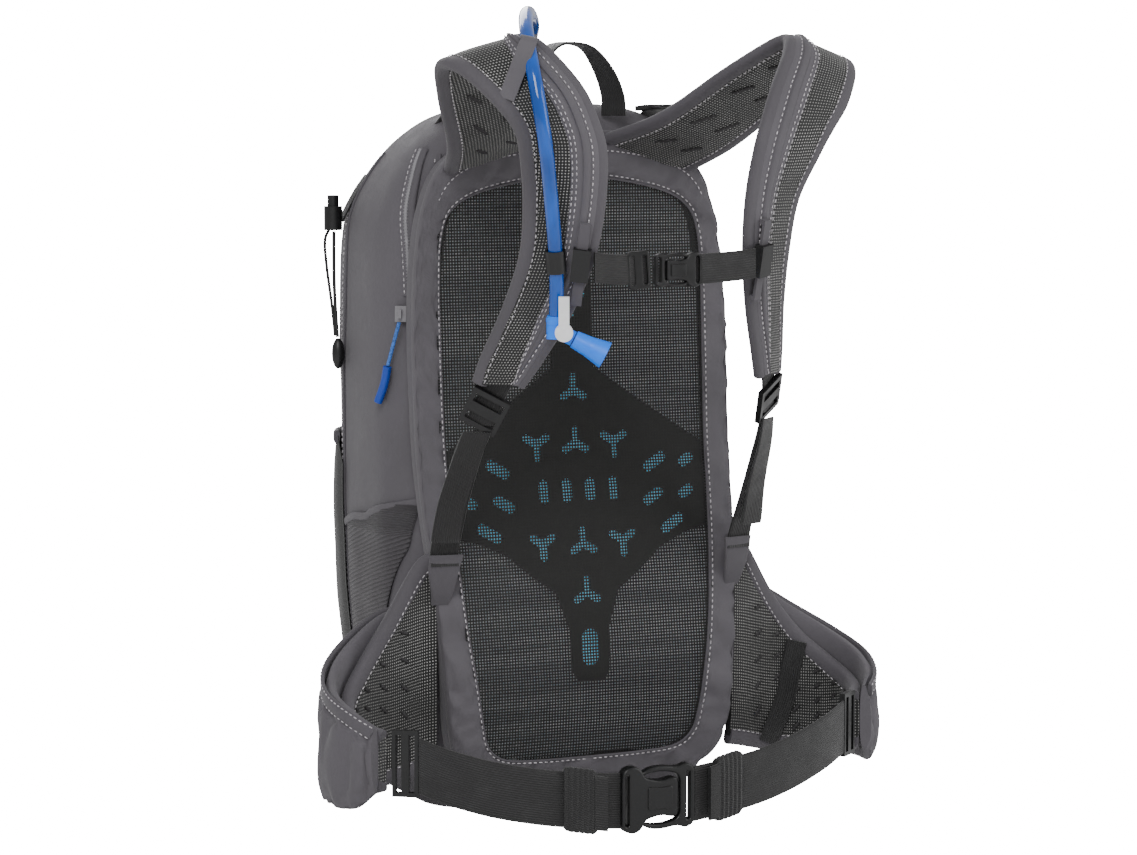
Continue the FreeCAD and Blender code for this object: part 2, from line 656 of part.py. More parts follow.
lever_disc = primitive("Cylinder", "lever_disc", Radius="Sizes.lever_dia/2", Height="Sizes.lever_thick")
lever_arm = primitive("Box", "lever_arm", Length="7", Width="24", Height="Sizes.lever_thick")
lever_arm.Placement.Base = V(-3.5, 0, 0)
valve_lever = doc.addObject("Part::MultiFuse", "valve_lever")
valve_lever.Shapes = [lever_disc, lever_arm]
lever_turn = FreeCAD.Rotation(V(1, 0, 0), V(0, 0, 1), LEVER_AXIS, "ZYX")
place(valve_lever, tuple(V(*ELBOW) + PIVOT_ASIDE + LEVER_AXIS * PIVOT_REACH), lever_turn)
valve_lever.Label = "valve_lever"

bite_neck = primitive("Cone", "bite_neck", Radius1="Sizes.bite_dia*0.42", Radius2="Sizes.bite_dia*0.5",
                      Height="12")
bite_lip = primitive("Cone", "bite_lip", Radius1="Sizes.bite_dia*0.5", Radius2="Sizes.bite_dia*0.66",
                     Height="12")
bite_lip.Placement.Base = V(0, 0, 11)
bite_valve = doc.addObject("Part::MultiFuse", "bite_valve")
bite_valve.Shapes = [bite_neck, bite_lip]
place(bite_valve, tuple(V(*ELBOW) + BITE_AXIS * 13.6), FreeCAD.Rotation(V(0, 0, 1), BITE_AXIS))
bite_valve.Label = "bite_valve"

# ------------------------------------------------------------------ sternum strap
SLOPE = V(0, -0.262, 0.965)
RAIL = V(67.0, -238.4, 394)
for side, word in ((1, "right"), (-1, "left")):
    turn = frame_rotation((0.89, side * 0.455, 0), tuple(SLOPE))
    rail = primitive("Box", "rail_bar_" + word, Length="Sizes.rail_wide", Width="Sizes.rail_thick",
                     Height="Sizes.rail_long")
    rail.setExpression(".Placement.Base.x", "-Sizes.rail_wide/2")
    rail.setExpression(".Placement.Base.y", "-Sizes.rail_thick/2")
    rail.setExpression(".Placement.Base.z", "-Sizes.rail_long/2")
    node = doc.addObject("Part::MultiFuse", "sternum_rail_" + word)
    feet = []
    for end in (-1, 1):
        foot = primitive("Box", "rail_foot_%s_%d" % (word, end + 1), Length="Sizes.rail_wide",
                         Width="3.4", Height="3")
        foot.setExpression(".Placement.Base.x", "-Sizes.rail_wide/2")
        foot.Placement.Base = V(0, 0, end * (size("rail_long") / 2 - 1.5) - 1.5)
        feet.append(foot)
    node.Shapes = [rail] + feet
    place(node, (side * RAIL.x, RAIL.y, RAIL.z), turn)
    node.Label = "sternum_rail_" + word

    shell = primitive("Box", "slider_shell_" + word, Length="Sizes.slider_wide",
                      Width="Sizes.slider_thick", Height="Sizes.slider_high")
    shell.setExpression(".Placement.Base.x", "-Sizes.slider_wide/2")
    shell.setExpression(".Placement.Base.y", "-Sizes.slider_thick+Sizes.rail_thick/2+Sizes.run_gap+1.2")
    shell.setExpression(".Placement.Base.z", "-Sizes.slider_high/2")
    channel = primitive("Box", "slider_channel_" + word, Length="Sizes.rail_wide+2*Sizes.run_gap",
                        Width="Sizes.rail_thick+2*Sizes.run_gap", Height="Sizes.slider_high*2")
    channel.setExpression(".Placement.Base.x", "-Sizes.rail_wide/2-Sizes.run_gap")
    channel.setExpression(".Placement.Base.y", "-Sizes.rail_thick/2-Sizes.run_gap")
    channel.setExpression(".Placement.Base.z", "-Sizes.slider_high")
    slider = doc.addObject("Part::Cut", "sternum_slider_" + word)
    slider.Base = shell
    slider.Tool = channel
    place(slider, (side * RAIL.x, RAIL.y, RAIL.z), turn)
    slider.Label = "sternum_slider_" + word

buckle_turn = FreeCAD.Rotation(V(0, 1, 0), 180)
SEAM = (-2.0, -240.5, 389)
buckle_female("sternum_buckle_female", "sb", SEAM, buckle_turn)
buckle_male("sternum_buckle_male", "sb", SEAM, buckle_turn)
left_path = [(-59.6, -243.6, 392.5), (-48, -242.0, 391), (-32, -241.5, 390), (-18.0, -240.5, 389)]
right_path = [(16.0, -240.5, 389), (32, -241.5, 390), (48, -242.0, 391), (59.6, -243.6, 392.5)]
upright = [(0, 0.0, 1)] * 4
shape_node("sternum_webbing_left", ribbon_loft(band(left_path, upright, size("strap_web")), web_thick),
           (-40, -240, 390))
shape_node("sternum_webbing_right", ribbon_loft(band(right_path, upright, size("strap_web")), web_thick),
           (40, -240, 390))

# ------------------------------------------------------------------ hip belt
# plan position, outward normal angle in plan, bottom height and top height
WING = [(124.5, -101.0, 100, 36, 182), (146, -99, 88, 31, 146), (167, -103, 64, 29, 118),
        (184, -117, 36, 29, 100), (191, -138, 8, 33, 89), (187, -158, -18, 38, 84),
        (180, -168, -32, 42, 81)]
POCKET_OUT = [(4, 46, 150), (7, 38, 148), (9, 31, 132), (10, 28, 116), (9, 27, 104), (7, 29, 94),
              (4, 40, 86)]


def upright_ring(side, x, y, angle, low, high, near, far, corner=4.0, count=48):
    """Closed ring of points standing in the plane of Z and the outward normal."""
    a = math.radians(angle)
    out = V(side * math.cos(a), math.sin(a), 0)
    middle = V(side * x, y, (low + high) / 2) + out * ((near + far) / 2)
    outline = even_ring((high - low) / 2, (far - near) / 2, corner, count)
    return [middle + out * b + V(0, 0, a) for a, b in outline]


def hip_wing(label, side):
    rings = [upright_ring(side, x, y, a, low, high, -4.5, 4.5) for x, y, a, low, high in WING]
    return shape_node(label, skin_solid(rings), (side * 124, -101, 100))


def hip_pocket(label, side):
    """Closed zipped pocket sewn to the outside of the wing, hollow."""
    outer = []
    inner = []
    for (x, y, a, _, _), (bulge, low, high) in zip(WING, POCKET_OUT):
        outer.append(upright_ring(side, x, y, a, low, high, 5.2, 7.6 + bulge, 3.0))
    for (x, y, a, _, _), (bulge, low, high) in list(zip(WING, POCKET_OUT))[1:6]:
        inner.append(upright_ring(side, x, y, a, low + 3, high - 3, 6.8, 6.0 + bulge, 3.0))
    skin = skin_solid(outer).cut(skin_solid(inner))
    return shape_node(label, skin, (side * 190, -110, 70))


for side, word in ((1, "right"), (-1, "left")):
    hip_wing("hip_wing_" + word, side)
    hip_pocket("hip_pocket_" + word, side)
    turn = frame_rotation((0, 0, 1), (side * 0.80, 0.60, 0.0))
    ladder_lock("belt_ladder_" + word, "bl", (side * 168.5, -180.5, 61), turn)

belt_w = size("belt_web")
belt_t = size("belt_thick")
LEFT_BELT = [(-161.6, -187.0, 60), (-146, -198, 53), (-120, -211, 45), (-90, -221, 39), (-60, -227, 35),
             (-33.8, -230, 33)]
RIGHT_BELT = [(21.8, -230, 33), (50, -228, 36), (80, -222.5, 40), (110, -213.5, 46), (140, -201, 54),
              (161.6, -187.0, 60)]
lean = [(0, 0, 1)] * 6
shape_node("belt_webbing_left", ribbon_loft(band(LEFT_BELT, lean, belt_w), belt_t), (-90, -221, 39))
shape_node("belt_webbing_right", ribbon_loft(band(RIGHT_BELT, lean, belt_w), belt_t), (80, -222, 40))
WAIST = (-1.5, -230, 33)
buckle_female("waist_buckle_female", "wb", WAIST, FreeCAD.Rotation())
buckle_male("waist_buckle_male", "wb", WAIST, FreeCAD.Rotation())


def web_keeper(label, origin, along):
    """Elastic sleeve round the doubled webbing."""
    sleeve = primitive("Box", label + "_sleeve", Length="Sizes.keeper_wide", Width="Sizes.keeper_thick",
                       Height="Sizes.belt_web+8")
    passage = primitive("Box", label + "_passage", Length="Sizes.keeper_wide*3",
                        Width="Sizes.keeper_thick-2.4",
                        Height="Sizes.belt_web+4")
    sleeve.Placement.Base = V(-size("keeper_wide") / 2, -size("keeper_thick") / 2, -belt_w / 2 - 4)
    passage.Placement.Base = V(-size("keeper_wide") * 1.5, -size("keeper_thick") / 2 + 1.2, -belt_w / 2 - 2)
    cut = doc.addObject("Part::Cut", label)
    cut.Base = sleeve
    cut.Tool = passage
    cut.Label = label
    place(cut, origin, frame_rotation(along, (0, 0, 1)))
    return cut


web_keeper("web_keeper_left", (-62, -226.7, 35.3), (30, -3.5, -2.0))
web_keeper("web_keeper_right", (48.5, -228.2, 35.8), (30, 3.4, 3.4))


# ------------------------------------------------------------------ zips, pulls and cord lock
def zip_slider(label, origin, rotation):
    body = primitive("Box", label + "_body", Length="Sizes.zip_body_wide", Width="Sizes.zip_body_thick",
                     Height="Sizes.zip_body_long")
    body.Placement.Base = V(-size("zip_body_wide") / 2, 0, -size("zip_body_long") / 2)
    bridge = primitive("Box", label + "_bridge", Length="2.4", Width="3.2", Height="6")
    bridge.Placement.Base = V(-1.2, -2.8, -3)
    fused = doc.addObject("Part::MultiFuse", label)
    fused.Shapes = [body, bridge]
    fused.Label = label
    place(fused, origin, rotation)
    return fused


RES_RUN = V(1.5, 1.8, 45)
RES_AT = (-122.4, -62.4, 352)
zip_slider("reservoir_zip_slider", RES_AT, frame_rotation((0.812, -0.583, 0), tuple(RES_RUN)))
MAIN_AT = (117.2, 66.5, 360)
MAIN_RUN = V(-0.02, -0.08, 1)
zip_slider("main_zip_slider", MAIN_AT, frame_rotation((-0.728, 0.685, 0.0), tuple(MAIN_RUN)))
main_out = V(0.685, 0.728, 0)
main_across = V(-0.728, 0.685, 0)
pull_rows = []
for out, drop, half in ((2.2, 4.8, 2.6), (4.0, 22, 3.6), (4.4, 38, 3.0)):
    centre = V(*MAIN_AT) + main_out * out - V(0, 0, drop)
    pull_rows.append((tuple(centre - main_across * half), tuple(centre + main_across * half)))
shape_node("main_zip_pull", ribbon_loft(pull_rows, 2.2), MAIN_AT)

PULL_TOP = (-124.6, -65.4, 346.3)
PULL = [PULL_TOP, (-126.3, -63.0, 337), (-128.0, -59.8, 326.5), (-129.8, -57.0, 316)]
shape_node("reservoir_zip_cord", tube_solid(PULL, size("cord_dia") / 2), PULL_TOP)
GRIP = [(-130.0, -56.7, 315.2), (-131.2, -54.5, 303), (-134.0, -49.0, 290)]
shape_node("reservoir_zip_grip", tube_solid(GRIP, size("grip_dia") / 2), GRIP[0])

LOCK_AT = (-140.0, 20, 407)
barrel = primitive("Cylinder", "lock_barrel", Radius="Sizes.lock_dia/2", Height="Sizes.lock_long")
well = primitive("Cylinder", "lock_well", Radius="Sizes.button_dia/2+0.4", Height="9")
well.Placement.Base = V(0, 0, size("lock_long") - 8)
cord_lock = doc.addObject("Part::Cut", "cord_lock_body")
cord_lock.Base = barrel
cord_lock.Tool = well
cord_lock.Label = "cord_lock_body"
place(cord_lock, LOCK_AT)
button = primitive("Cylinder", "cord_lock_button", Radius="Sizes.button_dia/2",
                   Height="Sizes.button_long+5")
button.Label = "cord_lock_button"
place(button, (LOCK_AT[0], LOCK_AT[1], LOCK_AT[2] + size("lock_long") - 4.2))
CORD = [(-140.0, 18.6, 406.2), (-140.6, 18.0, 380), (-140.4, 16.5, 355), (-139.4, 14.6, 331)]
shape_node("cord_lock_cord", tube_solid(CORD, size("cord_dia") / 2), CORD[0])
tip = doc.addObject("Part::Ellipsoid", "cord_lock_tip")
tip.Radius1 = 11
tip.Radius2 = 4.6
tip.Radius3 = 4.6
tip.Label = "cord_lock_tip"
place(tip, (-139.2, 14.0, 319.4))

# ------------------------------------------------------------------ build, check and write
doc.recompute()
NODES = """back_border back_mesh back_vent_plate back_foam_core back_frame_sheet main_bag
front_pocket_panel side_pocket_left side_pocket_right shoulder_pad_left shoulder_pad_right
strap_webbing_left strap_webbing_right ladder_lock_left ladder_lock_right anchor_tab_left
anchor_tab_right load_lifter_web_left load_lifter_web_right load_lifter_buckle_left
load_lifter_buckle_right haul_loop drink_tube tube_port tube_clip valve_elbow valve_lever
bite_valve sternum_rail_left sternum_rail_right sternum_slider_left sternum_slider_right
sternum_webbing_left sternum_webbing_right sternum_buckle_female sternum_buckle_male
hip_wing_left hip_wing_right hip_pocket_left hip_pocket_right belt_ladder_left belt_ladder_right
belt_webbing_left belt_webbing_right waist_buckle_female waist_buckle_male web_keeper_left
web_keeper_right reservoir_zip_slider reservoir_zip_cord reservoir_zip_grip main_zip_slider
main_zip_pull cord_lock_body cord_lock_button cord_lock_cord cord_lock_tip""".split()

problems = []
for item in doc.Objects:
    if "Invalid" in item.State or "Error" in item.State:
        problems.append("%s is %s" % (item.Name, item.State))
by_label = {item.Label: item for item in doc.Objects}
os.makedirs("parts", exist_ok=True)
for name in NODES:
    shape = by_label[name].Shape
    if shape.isNull() or not shape.isValid() or len(shape.Solids) < 1:
        problems.append("%s has a bad shape: %d solids" % (name, len(shape.Solids)))
        continue
    box = shape.BoundBox
    print("%-26s solids %d vol %9.0f  X %.0f..%.0f Y %.0f..%.0f Z %.1f..%.1f" % (
        name, len(shape.Solids), shape.Volume, box.XMin, box.XMax, box.YMin, box.YMax, box.ZMin, box.ZMax))
    shape.exportStep("parts/%s.step" % name)
if problems:
    raise RuntimeError("; ".join(problems))
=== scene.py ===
"""Ski backpack: soft goods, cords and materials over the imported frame.

Shape lists are in millimetres and are scaled by MM where a mesh is made; cord routes are in metres.
+X is the wearer's right, -Y towards the wearer, +Z up.
"""
import bpy
import bmesh
import math
import numpy as np
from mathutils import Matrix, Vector, noise


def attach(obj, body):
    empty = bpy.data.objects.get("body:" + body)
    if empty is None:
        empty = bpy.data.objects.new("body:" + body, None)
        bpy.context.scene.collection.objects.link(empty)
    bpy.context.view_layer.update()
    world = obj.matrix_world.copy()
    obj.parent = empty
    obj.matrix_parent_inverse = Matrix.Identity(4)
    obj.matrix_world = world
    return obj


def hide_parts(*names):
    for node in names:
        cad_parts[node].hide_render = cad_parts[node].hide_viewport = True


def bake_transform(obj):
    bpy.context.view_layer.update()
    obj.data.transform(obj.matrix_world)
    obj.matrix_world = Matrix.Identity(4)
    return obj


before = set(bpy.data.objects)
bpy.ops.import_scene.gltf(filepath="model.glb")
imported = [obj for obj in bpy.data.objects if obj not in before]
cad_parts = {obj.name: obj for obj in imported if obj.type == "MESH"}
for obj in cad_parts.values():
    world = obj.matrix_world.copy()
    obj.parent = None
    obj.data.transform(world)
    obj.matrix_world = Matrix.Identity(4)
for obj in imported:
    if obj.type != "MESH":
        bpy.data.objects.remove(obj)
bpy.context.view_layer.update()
MM = 0.001
SIDES = (("right", 1), ("left", -1))


# ------------------------------------------------------------------ camera, floor and light
def aim(obj, place, target):
    obj.location = place
    obj.rotation_euler = (Vector(target) - Vector(place)).to_track_quat("-Z", "Y").to_euler()
    bpy.context.collection.objects.link(obj)


VIEW_TURN, VIEW_RISE, VIEW_AWAY = math.radians(-25), math.radians(6), 2.45
view_right = Vector((math.cos(VIEW_TURN), math.sin(VIEW_TURN), 0))
view_target = Vector((0, -0.090, 0.270)) - view_right * 0.00598
view_from = view_target + VIEW_AWAY * Vector((
    math.sin(VIEW_TURN) * math.cos(VIEW_RISE), -math.cos(VIEW_TURN) * math.cos(VIEW_RISE),
    math.sin(VIEW_RISE)))
camera_data = bpy.data.cameras.new("camera")
camera_data.lens = 110.2
camera_data.sensor_width = 36
camera = bpy.data.objects.new("camera", camera_data)
aim(camera, view_from, view_target)
bpy.context.scene.camera = camera


def area_light(name, place, target, power, width):
    data = bpy.data.lights.new(name, "AREA")
    data.energy = power
    data.size = width
    aim(bpy.data.objects.new(name, data), place, target)


area_light("key", (-1.5, -2.3, 2.2), (0, 0, 0.3), 60, 1.3)
area_light("fill", (2.3, -1.8, 1.1), (0, 0, 0.3), 30, 1.8)
area_light("back", (0.4, 2.2, 1.8), (0, 0, 0.3), 40, 1.6)
STUDIO_LIGHT, BACKDROP = 0.60, 22.0


def make_studio():
    """White surroundings and a pale floor, both bright to look at but soft as light."""
    world = bpy.data.worlds.new("studio")
    world.use_nodes = True
    tree = world.node_tree
    rays = tree.nodes.new("ShaderNodeLightPath")
    strength = tree.nodes.new("ShaderNodeMapRange")
    strength.inputs["To Min"].default_value = STUDIO_LIGHT
    strength.inputs["To Max"].default_value = BACKDROP
    tree.links.new(rays.outputs["Is Camera Ray"], strength.inputs["Value"])
    tree.nodes["Background"].inputs["Color"].default_value = (1, 1, 1, 1)
    tree.links.new(strength.outputs[0], tree.nodes["Background"].inputs["Strength"])
    bpy.context.scene.world = world

    material = bpy.data.materials.new("floor")
    material.use_nodes = True
    tree = material.node_tree
    paper = tree.nodes["Principled BSDF"]
    paper.inputs["Base Color"].default_value = (0.9, 0.9, 0.9, 1)
    paper.inputs["Roughness"].default_value = 0.9
    paper.inputs["Emission Color"].default_value = (1, 1, 1, 1)
    rays = tree.nodes.new("ShaderNodeLightPath")
    glow = tree.nodes.new("ShaderNodeMath")
    glow.operation = "MULTIPLY"
    glow.inputs[1].default_value = BACKDROP - 1.0
    tree.links.new(rays.outputs["Is Camera Ray"], glow.inputs[0])
    tree.links.new(glow.outputs[0], paper.inputs["Emission Strength"])
    disc = bmesh.new()
    bmesh.ops.create_circle(disc, cap_ends=True, segments=64, radius=30)
    mesh = bpy.data.meshes.new("floor")
    disc.to_mesh(mesh)
    disc.free()
    mesh.materials.append(material)
    floor = bpy.data.objects.new("floor", mesh)
    floor.location.z = -0.0005
    bpy.context.collection.objects.link(floor)


make_studio()


# ------------------------------------------------------------------ cord routes in metres, as in CAD
TUBE = [(-0.050, -0.068, 0.488), (-0.048, -0.086, 0.517), (-0.047, -0.122, 0.546),
        (-0.068, -0.160, 0.560), (-0.092, -0.205, 0.556), (-0.106, -0.242, 0.536),
        (-0.107, -0.260, 0.502), (-0.101, -0.259, 0.470), (-0.092, -0.246, 0.440),
        (-0.085, -0.237, 0.410), (-0.081, -0.232, 0.382), (-0.0802, -0.2284, 0.3581)]
PULL = [(-0.1246, -0.0654, 0.3463), (-0.1263, -0.0630, 0.337), (-0.1280, -0.0598, 0.3265),
        (-0.1298, -0.0570, 0.316)]
LOCK_CORD = [(-0.1400, 0.0186, 0.4062), (-0.1406, 0.0180, 0.380), (-0.1404, 0.0165, 0.355),
             (-0.1394, 0.0146, 0.331)]


def cord_curve(name, route, diameter, surface):
    """A round cord on a smooth curve through its route's control points."""
    curve = bpy.data.curves.new(name, "CURVE")
    curve.dimensions = "3D"
    line = curve.splines.new("NURBS")
    line.points.add(len(route) - 1)
    for point, place in zip(line.points, route):
        point.co = (*place, 1)
    line.order_u = 3
    line.use_endpoint_u = True
    line.resolution_u = 16
    curve.bevel_depth = diameter / 2
    curve.bevel_resolution = 6
    curve.use_fill_caps = True
    curve.materials.append(surface)
    obj = bpy.data.objects.new(name, curve)
    bpy.context.collection.objects.link(obj)
    return obj


# ------------------------------------------------------------------ materials
def srgb(red, green, blue):
    """Linear colour from screen values of 0 to 255."""
    return tuple((v / 255 / 12.92) if v <= 10 else ((v / 255 + 0.055) / 1.055) ** 2.4
                 for v in (red, green, blue))


class Surface:
    """A node material, with short calls for the nodes it is made of."""

    def __init__(self, name, roughness, **constants):
        self.material = bpy.data.materials.new(name)
        self.material.use_nodes = True
        self.tree = self.material.node_tree
        self.shader = self.tree.nodes["Principled BSDF"]
        self.shader.inputs["Roughness"].default_value = roughness
        for socket, value in constants.items():
            self.shader.inputs[socket.replace("_", " ")].default_value = value
        self.places = self.tree.nodes.new("ShaderNodeTexCoord")
        split = self.tree.nodes.new("ShaderNodeSeparateXYZ")
        self.tree.links.new(self.places.outputs["UV"], split.inputs[0])
        self.u, self.v = split.outputs[0], split.outputs[1]

    def put(self, value, socket):
        if isinstance(value, bpy.types.NodeSocket):
            self.tree.links.new(value, socket)
        else:
            socket.default_value = value

    def sum(self, operation, first, second=0.0, third=0.0):
        node = self.tree.nodes.new("ShaderNodeMath")
        node.operation = operation
        for value, socket in zip((first, second, third), node.inputs):
            self.put(value, socket)
        return node.outputs[0]

    def ripple(self, along, wavelength):
        """Sine, from -1 to 1, of a coordinate in metres."""
        return self.sum("SINE", self.sum("MULTIPLY", along, 2 * math.pi / wavelength))

    def noise(self, scale, detail=3.0, stretch=(1, 1, 1)):
        node = self.tree.nodes.new("ShaderNodeTexNoise")
        node.inputs["Scale"].default_value = scale
        node.inputs["Detail"].default_value = detail
        mapping = self.tree.nodes.new("ShaderNodeMapping")
        mapping.inputs["Scale"].default_value = stretch
        self.tree.links.new(self.places.outputs["Object"], mapping.inputs[0])
        self.tree.links.new(mapping.outputs[0], node.inputs["Vector"])
        return node.outputs[0]

    def spread(self, value, low, high, start=0.0, end=1.0):
        """Smoothly maps low..high to start..end."""
        node = self.tree.nodes.new("ShaderNodeMapRange")
        node.interpolation_type = "SMOOTHSTEP"
        for socket, number in zip(node.inputs, (value, low, high, start, end)):
            self.put(number, socket)
        return node.outputs[0]

    def blend(self, factor, first, second):
        node = self.tree.nodes.new("ShaderNodeMix")
        node.data_type = "RGBA"
        self.put(factor, node.inputs[0])
        for value, socket in ((first, node.inputs[6]), (second, node.inputs[7])):
            self.put(value if isinstance(value, bpy.types.NodeSocket) else (*value, 1), socket)
        return node.outputs[2]

    def bump(self, height, distance, strength=1.0, under=None):
        node = self.tree.nodes.new("ShaderNodeBump")
        node.inputs["Strength"].default_value = strength
        node.inputs["Distance"].default_value = distance
        self.tree.links.new(height, node.inputs["Height"])
        if under is not None:
            self.tree.links.new(under, node.inputs["Normal"])
        return node.outputs[0]

    def done(self, colour, roughness=None, normal=None):
        self.put(colour if isinstance(colour, bpy.types.NodeSocket) else (*colour, 1),
                 self.shader.inputs["Base Color"])
        if roughness is not None:
            self.put(roughness, self.shader.inputs["Roughness"])
        if normal is not None:
            self.put(normal, self.shader.inputs["Normal"])
        return self.material


def scaled(colour, factor):
    return tuple(min(1.0, channel * factor) for channel in colour)


def fabric(name, colour, creases=1.0, rib=0.0):
    """Woven nylon: fine diagonal weave, soft creases and a little fading; rib adds stretch ribs."""
    s = Surface(name, 0.72, Sheen_Weight=0.10, Sheen_Roughness=0.45)
    mottle = s.noise(55, 4)
    fade = s.noise(9, 2)
    weave = s.ripple(s.sum("ADD", s.u, s.v), 0.0011)
    thread = s.ripple(s.sum("SUBTRACT", s.u, s.v), 0.0008)
    shade = s.blend(s.spread(fade, 0.3, 0.7), scaled(colour, 0.90), scaled(colour, 1.10))
    shade = s.blend(s.spread(mottle, 0.35, 0.75, 0.0, 0.35), shade, scaled(colour, 1.22))
    shade = s.blend(s.spread(weave, -1, 1, 0.0, 0.16), shade, scaled(colour, 0.62))
    height = s.sum("ADD", s.sum("MULTIPLY", weave, 0.6), s.sum("MULTIPLY", thread, 0.4))
    fold = s.bump(s.noise(10, 2, (1.0, 1.0, 0.45)), 0.010, 0.35 * creases)
    fold = s.bump(s.noise(28, 4, (1.0, 1.0, 0.5)), 0.004, 0.34 * creases, fold)
    if rib:
        ribs = s.ripple(s.sum("ADD", s.v, s.sum("MULTIPLY", s.u, 0.35)), rib)
        fold = s.bump(ribs, 0.0006, 0.8, fold)
        shade = s.blend(s.spread(ribs, -1, 1, 0.45, 0.0), shade, scaled(colour, 0.45))
    normal = s.bump(height, 0.00012, 0.5, fold)
    return s.done(shade, s.spread(mottle, 0.3, 0.7, 0.66, 0.80), normal)


AIR_MESH_PITCH = 0.00215


def spacer_mesh(name, yarn, backing):
    """Knitted air mesh: dark yarn in a square net, with the pale layer below showing in its holes."""
    s = Surface(name, 0.8, Sheen_Weight=0.15)
    drift = s.spread(s.noise(120, 2), 0, 1, -0.00035, 0.00035)
    across = s.sum("PINGPONG", s.sum("ADD", s.u, drift), AIR_MESH_PITCH / 2)
    along = s.sum("PINGPONG", s.sum("ADD", s.v, drift), AIR_MESH_PITCH / 2)
    from_yarn = s.sum("MINIMUM", across, along)
    hole = s.spread(from_yarn, AIR_MESH_PITCH * 0.25, AIR_MESH_PITCH * 0.34)
    tint = s.blend(s.spread(s.noise(30, 3), 0.35, 0.7), scaled(backing, 0.55), backing)
    colour = s.blend(hole, yarn, tint)
    fuzz = s.bump(s.noise(1400, 2), 0.0002, 0.5)
    swell = s.bump(s.noise(22, 2), 0.003, 0.25, fuzz)
    return s.done(colour, s.spread(hole, 0, 1, 0.7, 0.9), s.bump(hole, -0.0006, 0.9, swell))


def webbing(name, colour, rib=0.0016):
    """Woven strap: ribs along its length, fine picks across it."""
    s = Surface(name, 0.55, Sheen_Weight=0.2, Sheen_Roughness=0.4)
    ribs = s.ripple(s.u, rib)
    picks = s.ripple(s.sum("ADD", s.v, s.sum("MULTIPLY", ribs, 0.0003)), 0.0009)
    wear = s.noise(70, 4)
    shade = s.blend(s.spread(ribs, -1, 1), scaled(colour, 0.55), scaled(colour, 1.25))
    shade = s.blend(s.spread(wear, 0.45, 0.8, 0.0, 0.5), shade, scaled(colour, 1.9))
    height = s.sum("ADD", s.sum("MULTIPLY", ribs, 0.7), s.sum("MULTIPLY", picks, 0.3))
    return s.done(shade, s.spread(wear, 0.3, 0.7, 0.48, 0.66), s.bump(height, 0.00025, 0.8))


def plastic(name, colour, roughness=0.34, grain=900):
    """Moulded plastic with a fine spark-eroded texture and slightly rubbed patches."""
    s = Surface(name, roughness, Specular_IOR_Level=0.45)
    rub = s.noise(90, 4)
    shade = s.blend(s.spread(rub, 0.5, 0.8, 0.0, 0.6), colour, scaled(colour, 1.7))
    return s.done(shade, s.spread(rub, 0.3, 0.7, roughness - 0.06, roughness + 0.12),
                  s.bump(s.noise(grain, 2), 0.00008, 0.5))


def clear_tube(name, colour):
    """Glossy tinted tube with slight clouding along it."""
    s = Surface(name, 0.12, Coat_Weight=0.5, Coat_Roughness=0.04, Specular_IOR_Level=0.3)
    cloud = s.noise(70, 3, (1, 1, 0.3))
    shade = s.blend(s.spread(cloud, 0.3, 0.75), scaled(colour, 0.70), scaled(colour, 1.15))
    return s.done(shade, s.spread(cloud, 0.3, 0.7, 0.08, 0.2), s.bump(cloud, 0.0004, 0.2))


def foam(name, blue, grey):
    """Open-cell foam: blue under the vented plate, grey elsewhere; painted shade bands in the grey, and
    a faint painted glow in the blue.
    """
    s = Surface(name, 0.9)
    split = s.tree.nodes.new("ShaderNodeSeparateXYZ")
    s.tree.links.new(s.places.outputs["Object"], split.inputs[0])
    aside = s.sum("ABSOLUTE", split.outputs[0])
    up = split.outputs[2]
    # the vented plate's outline: a diamond with sloping edges, and a stem down its middle
    below_top = s.spread(s.sum("MULTIPLY_ADD", aside, 0.67, up), 0.3195, 0.3205, 1.0, 0.0)
    above_bottom = s.spread(s.sum("MULTIPLY_ADD", aside, -0.55, up), 0.1515, 0.1525)
    diamond = s.sum("MULTIPLY", s.sum("MULTIPLY", below_top, above_bottom),
                    s.spread(aside, 0.0970, 0.0975, 1.0, 0.0))
    stem = s.sum("MULTIPLY", s.spread(aside, 0.0138, 0.0142, 1.0, 0.0),
                 s.spread(up, 0.0995, 0.1005))
    inside = s.sum("MAXIMUM", diamond, stem)
    cells = s.noise(900, 3)
    # painted shade: soft horizontal bands darken the grey backing, standing in for the shading of the
    # sagging net over it
    painted_sag_shade = s.noise(95, 2, (0.06, 1, 1))
    shadow = s.spread(painted_sag_shade, 0.38, 0.62, 0.50, 1.0)
    tone = s.blend(shadow, scaled(grey, 0.30), grey)
    tone = s.blend(inside, tone, blue)
    tone = s.blend(s.spread(cells, 0.35, 0.6, 0.35, 0.0), tone, scaled(blue, 0.4))
    # painted light: the blue under the vented plate glows faintly so the shaded vents look brighter
    glow = s.blend(inside, (0, 0, 0), blue)
    s.put(glow, s.shader.inputs["Emission Color"])
    s.put(0.16, s.shader.inputs["Emission Strength"])
    return s.done(tone, 0.9, s.bump(cells, 0.0004, 0.6))


def matte_rubber(name, colour, roughness=0.42):
    s = Surface(name, roughness, Subsurface_Weight=0.1, Subsurface_Scale=0.003)
    dust = s.noise(240, 4)
    shade = s.blend(s.spread(dust, 0.4, 0.8, 0.0, 0.4), colour, scaled(colour, 1.25))
    return s.done(shade, s.spread(dust, 0.3, 0.7, roughness - 0.05, roughness + 0.1),
                  s.bump(dust, 0.0002, 0.25))


def braid(name, colour):
    """Thin braided cord or thread."""
    s = Surface(name, 0.7)
    strands = s.noise(900, 2)
    shade = s.blend(s.spread(strands, 0.35, 0.65), scaled(colour, 0.55), scaled(colour, 1.3))
    return s.done(shade, 0.7, s.bump(strands, 0.0003, 0.7))


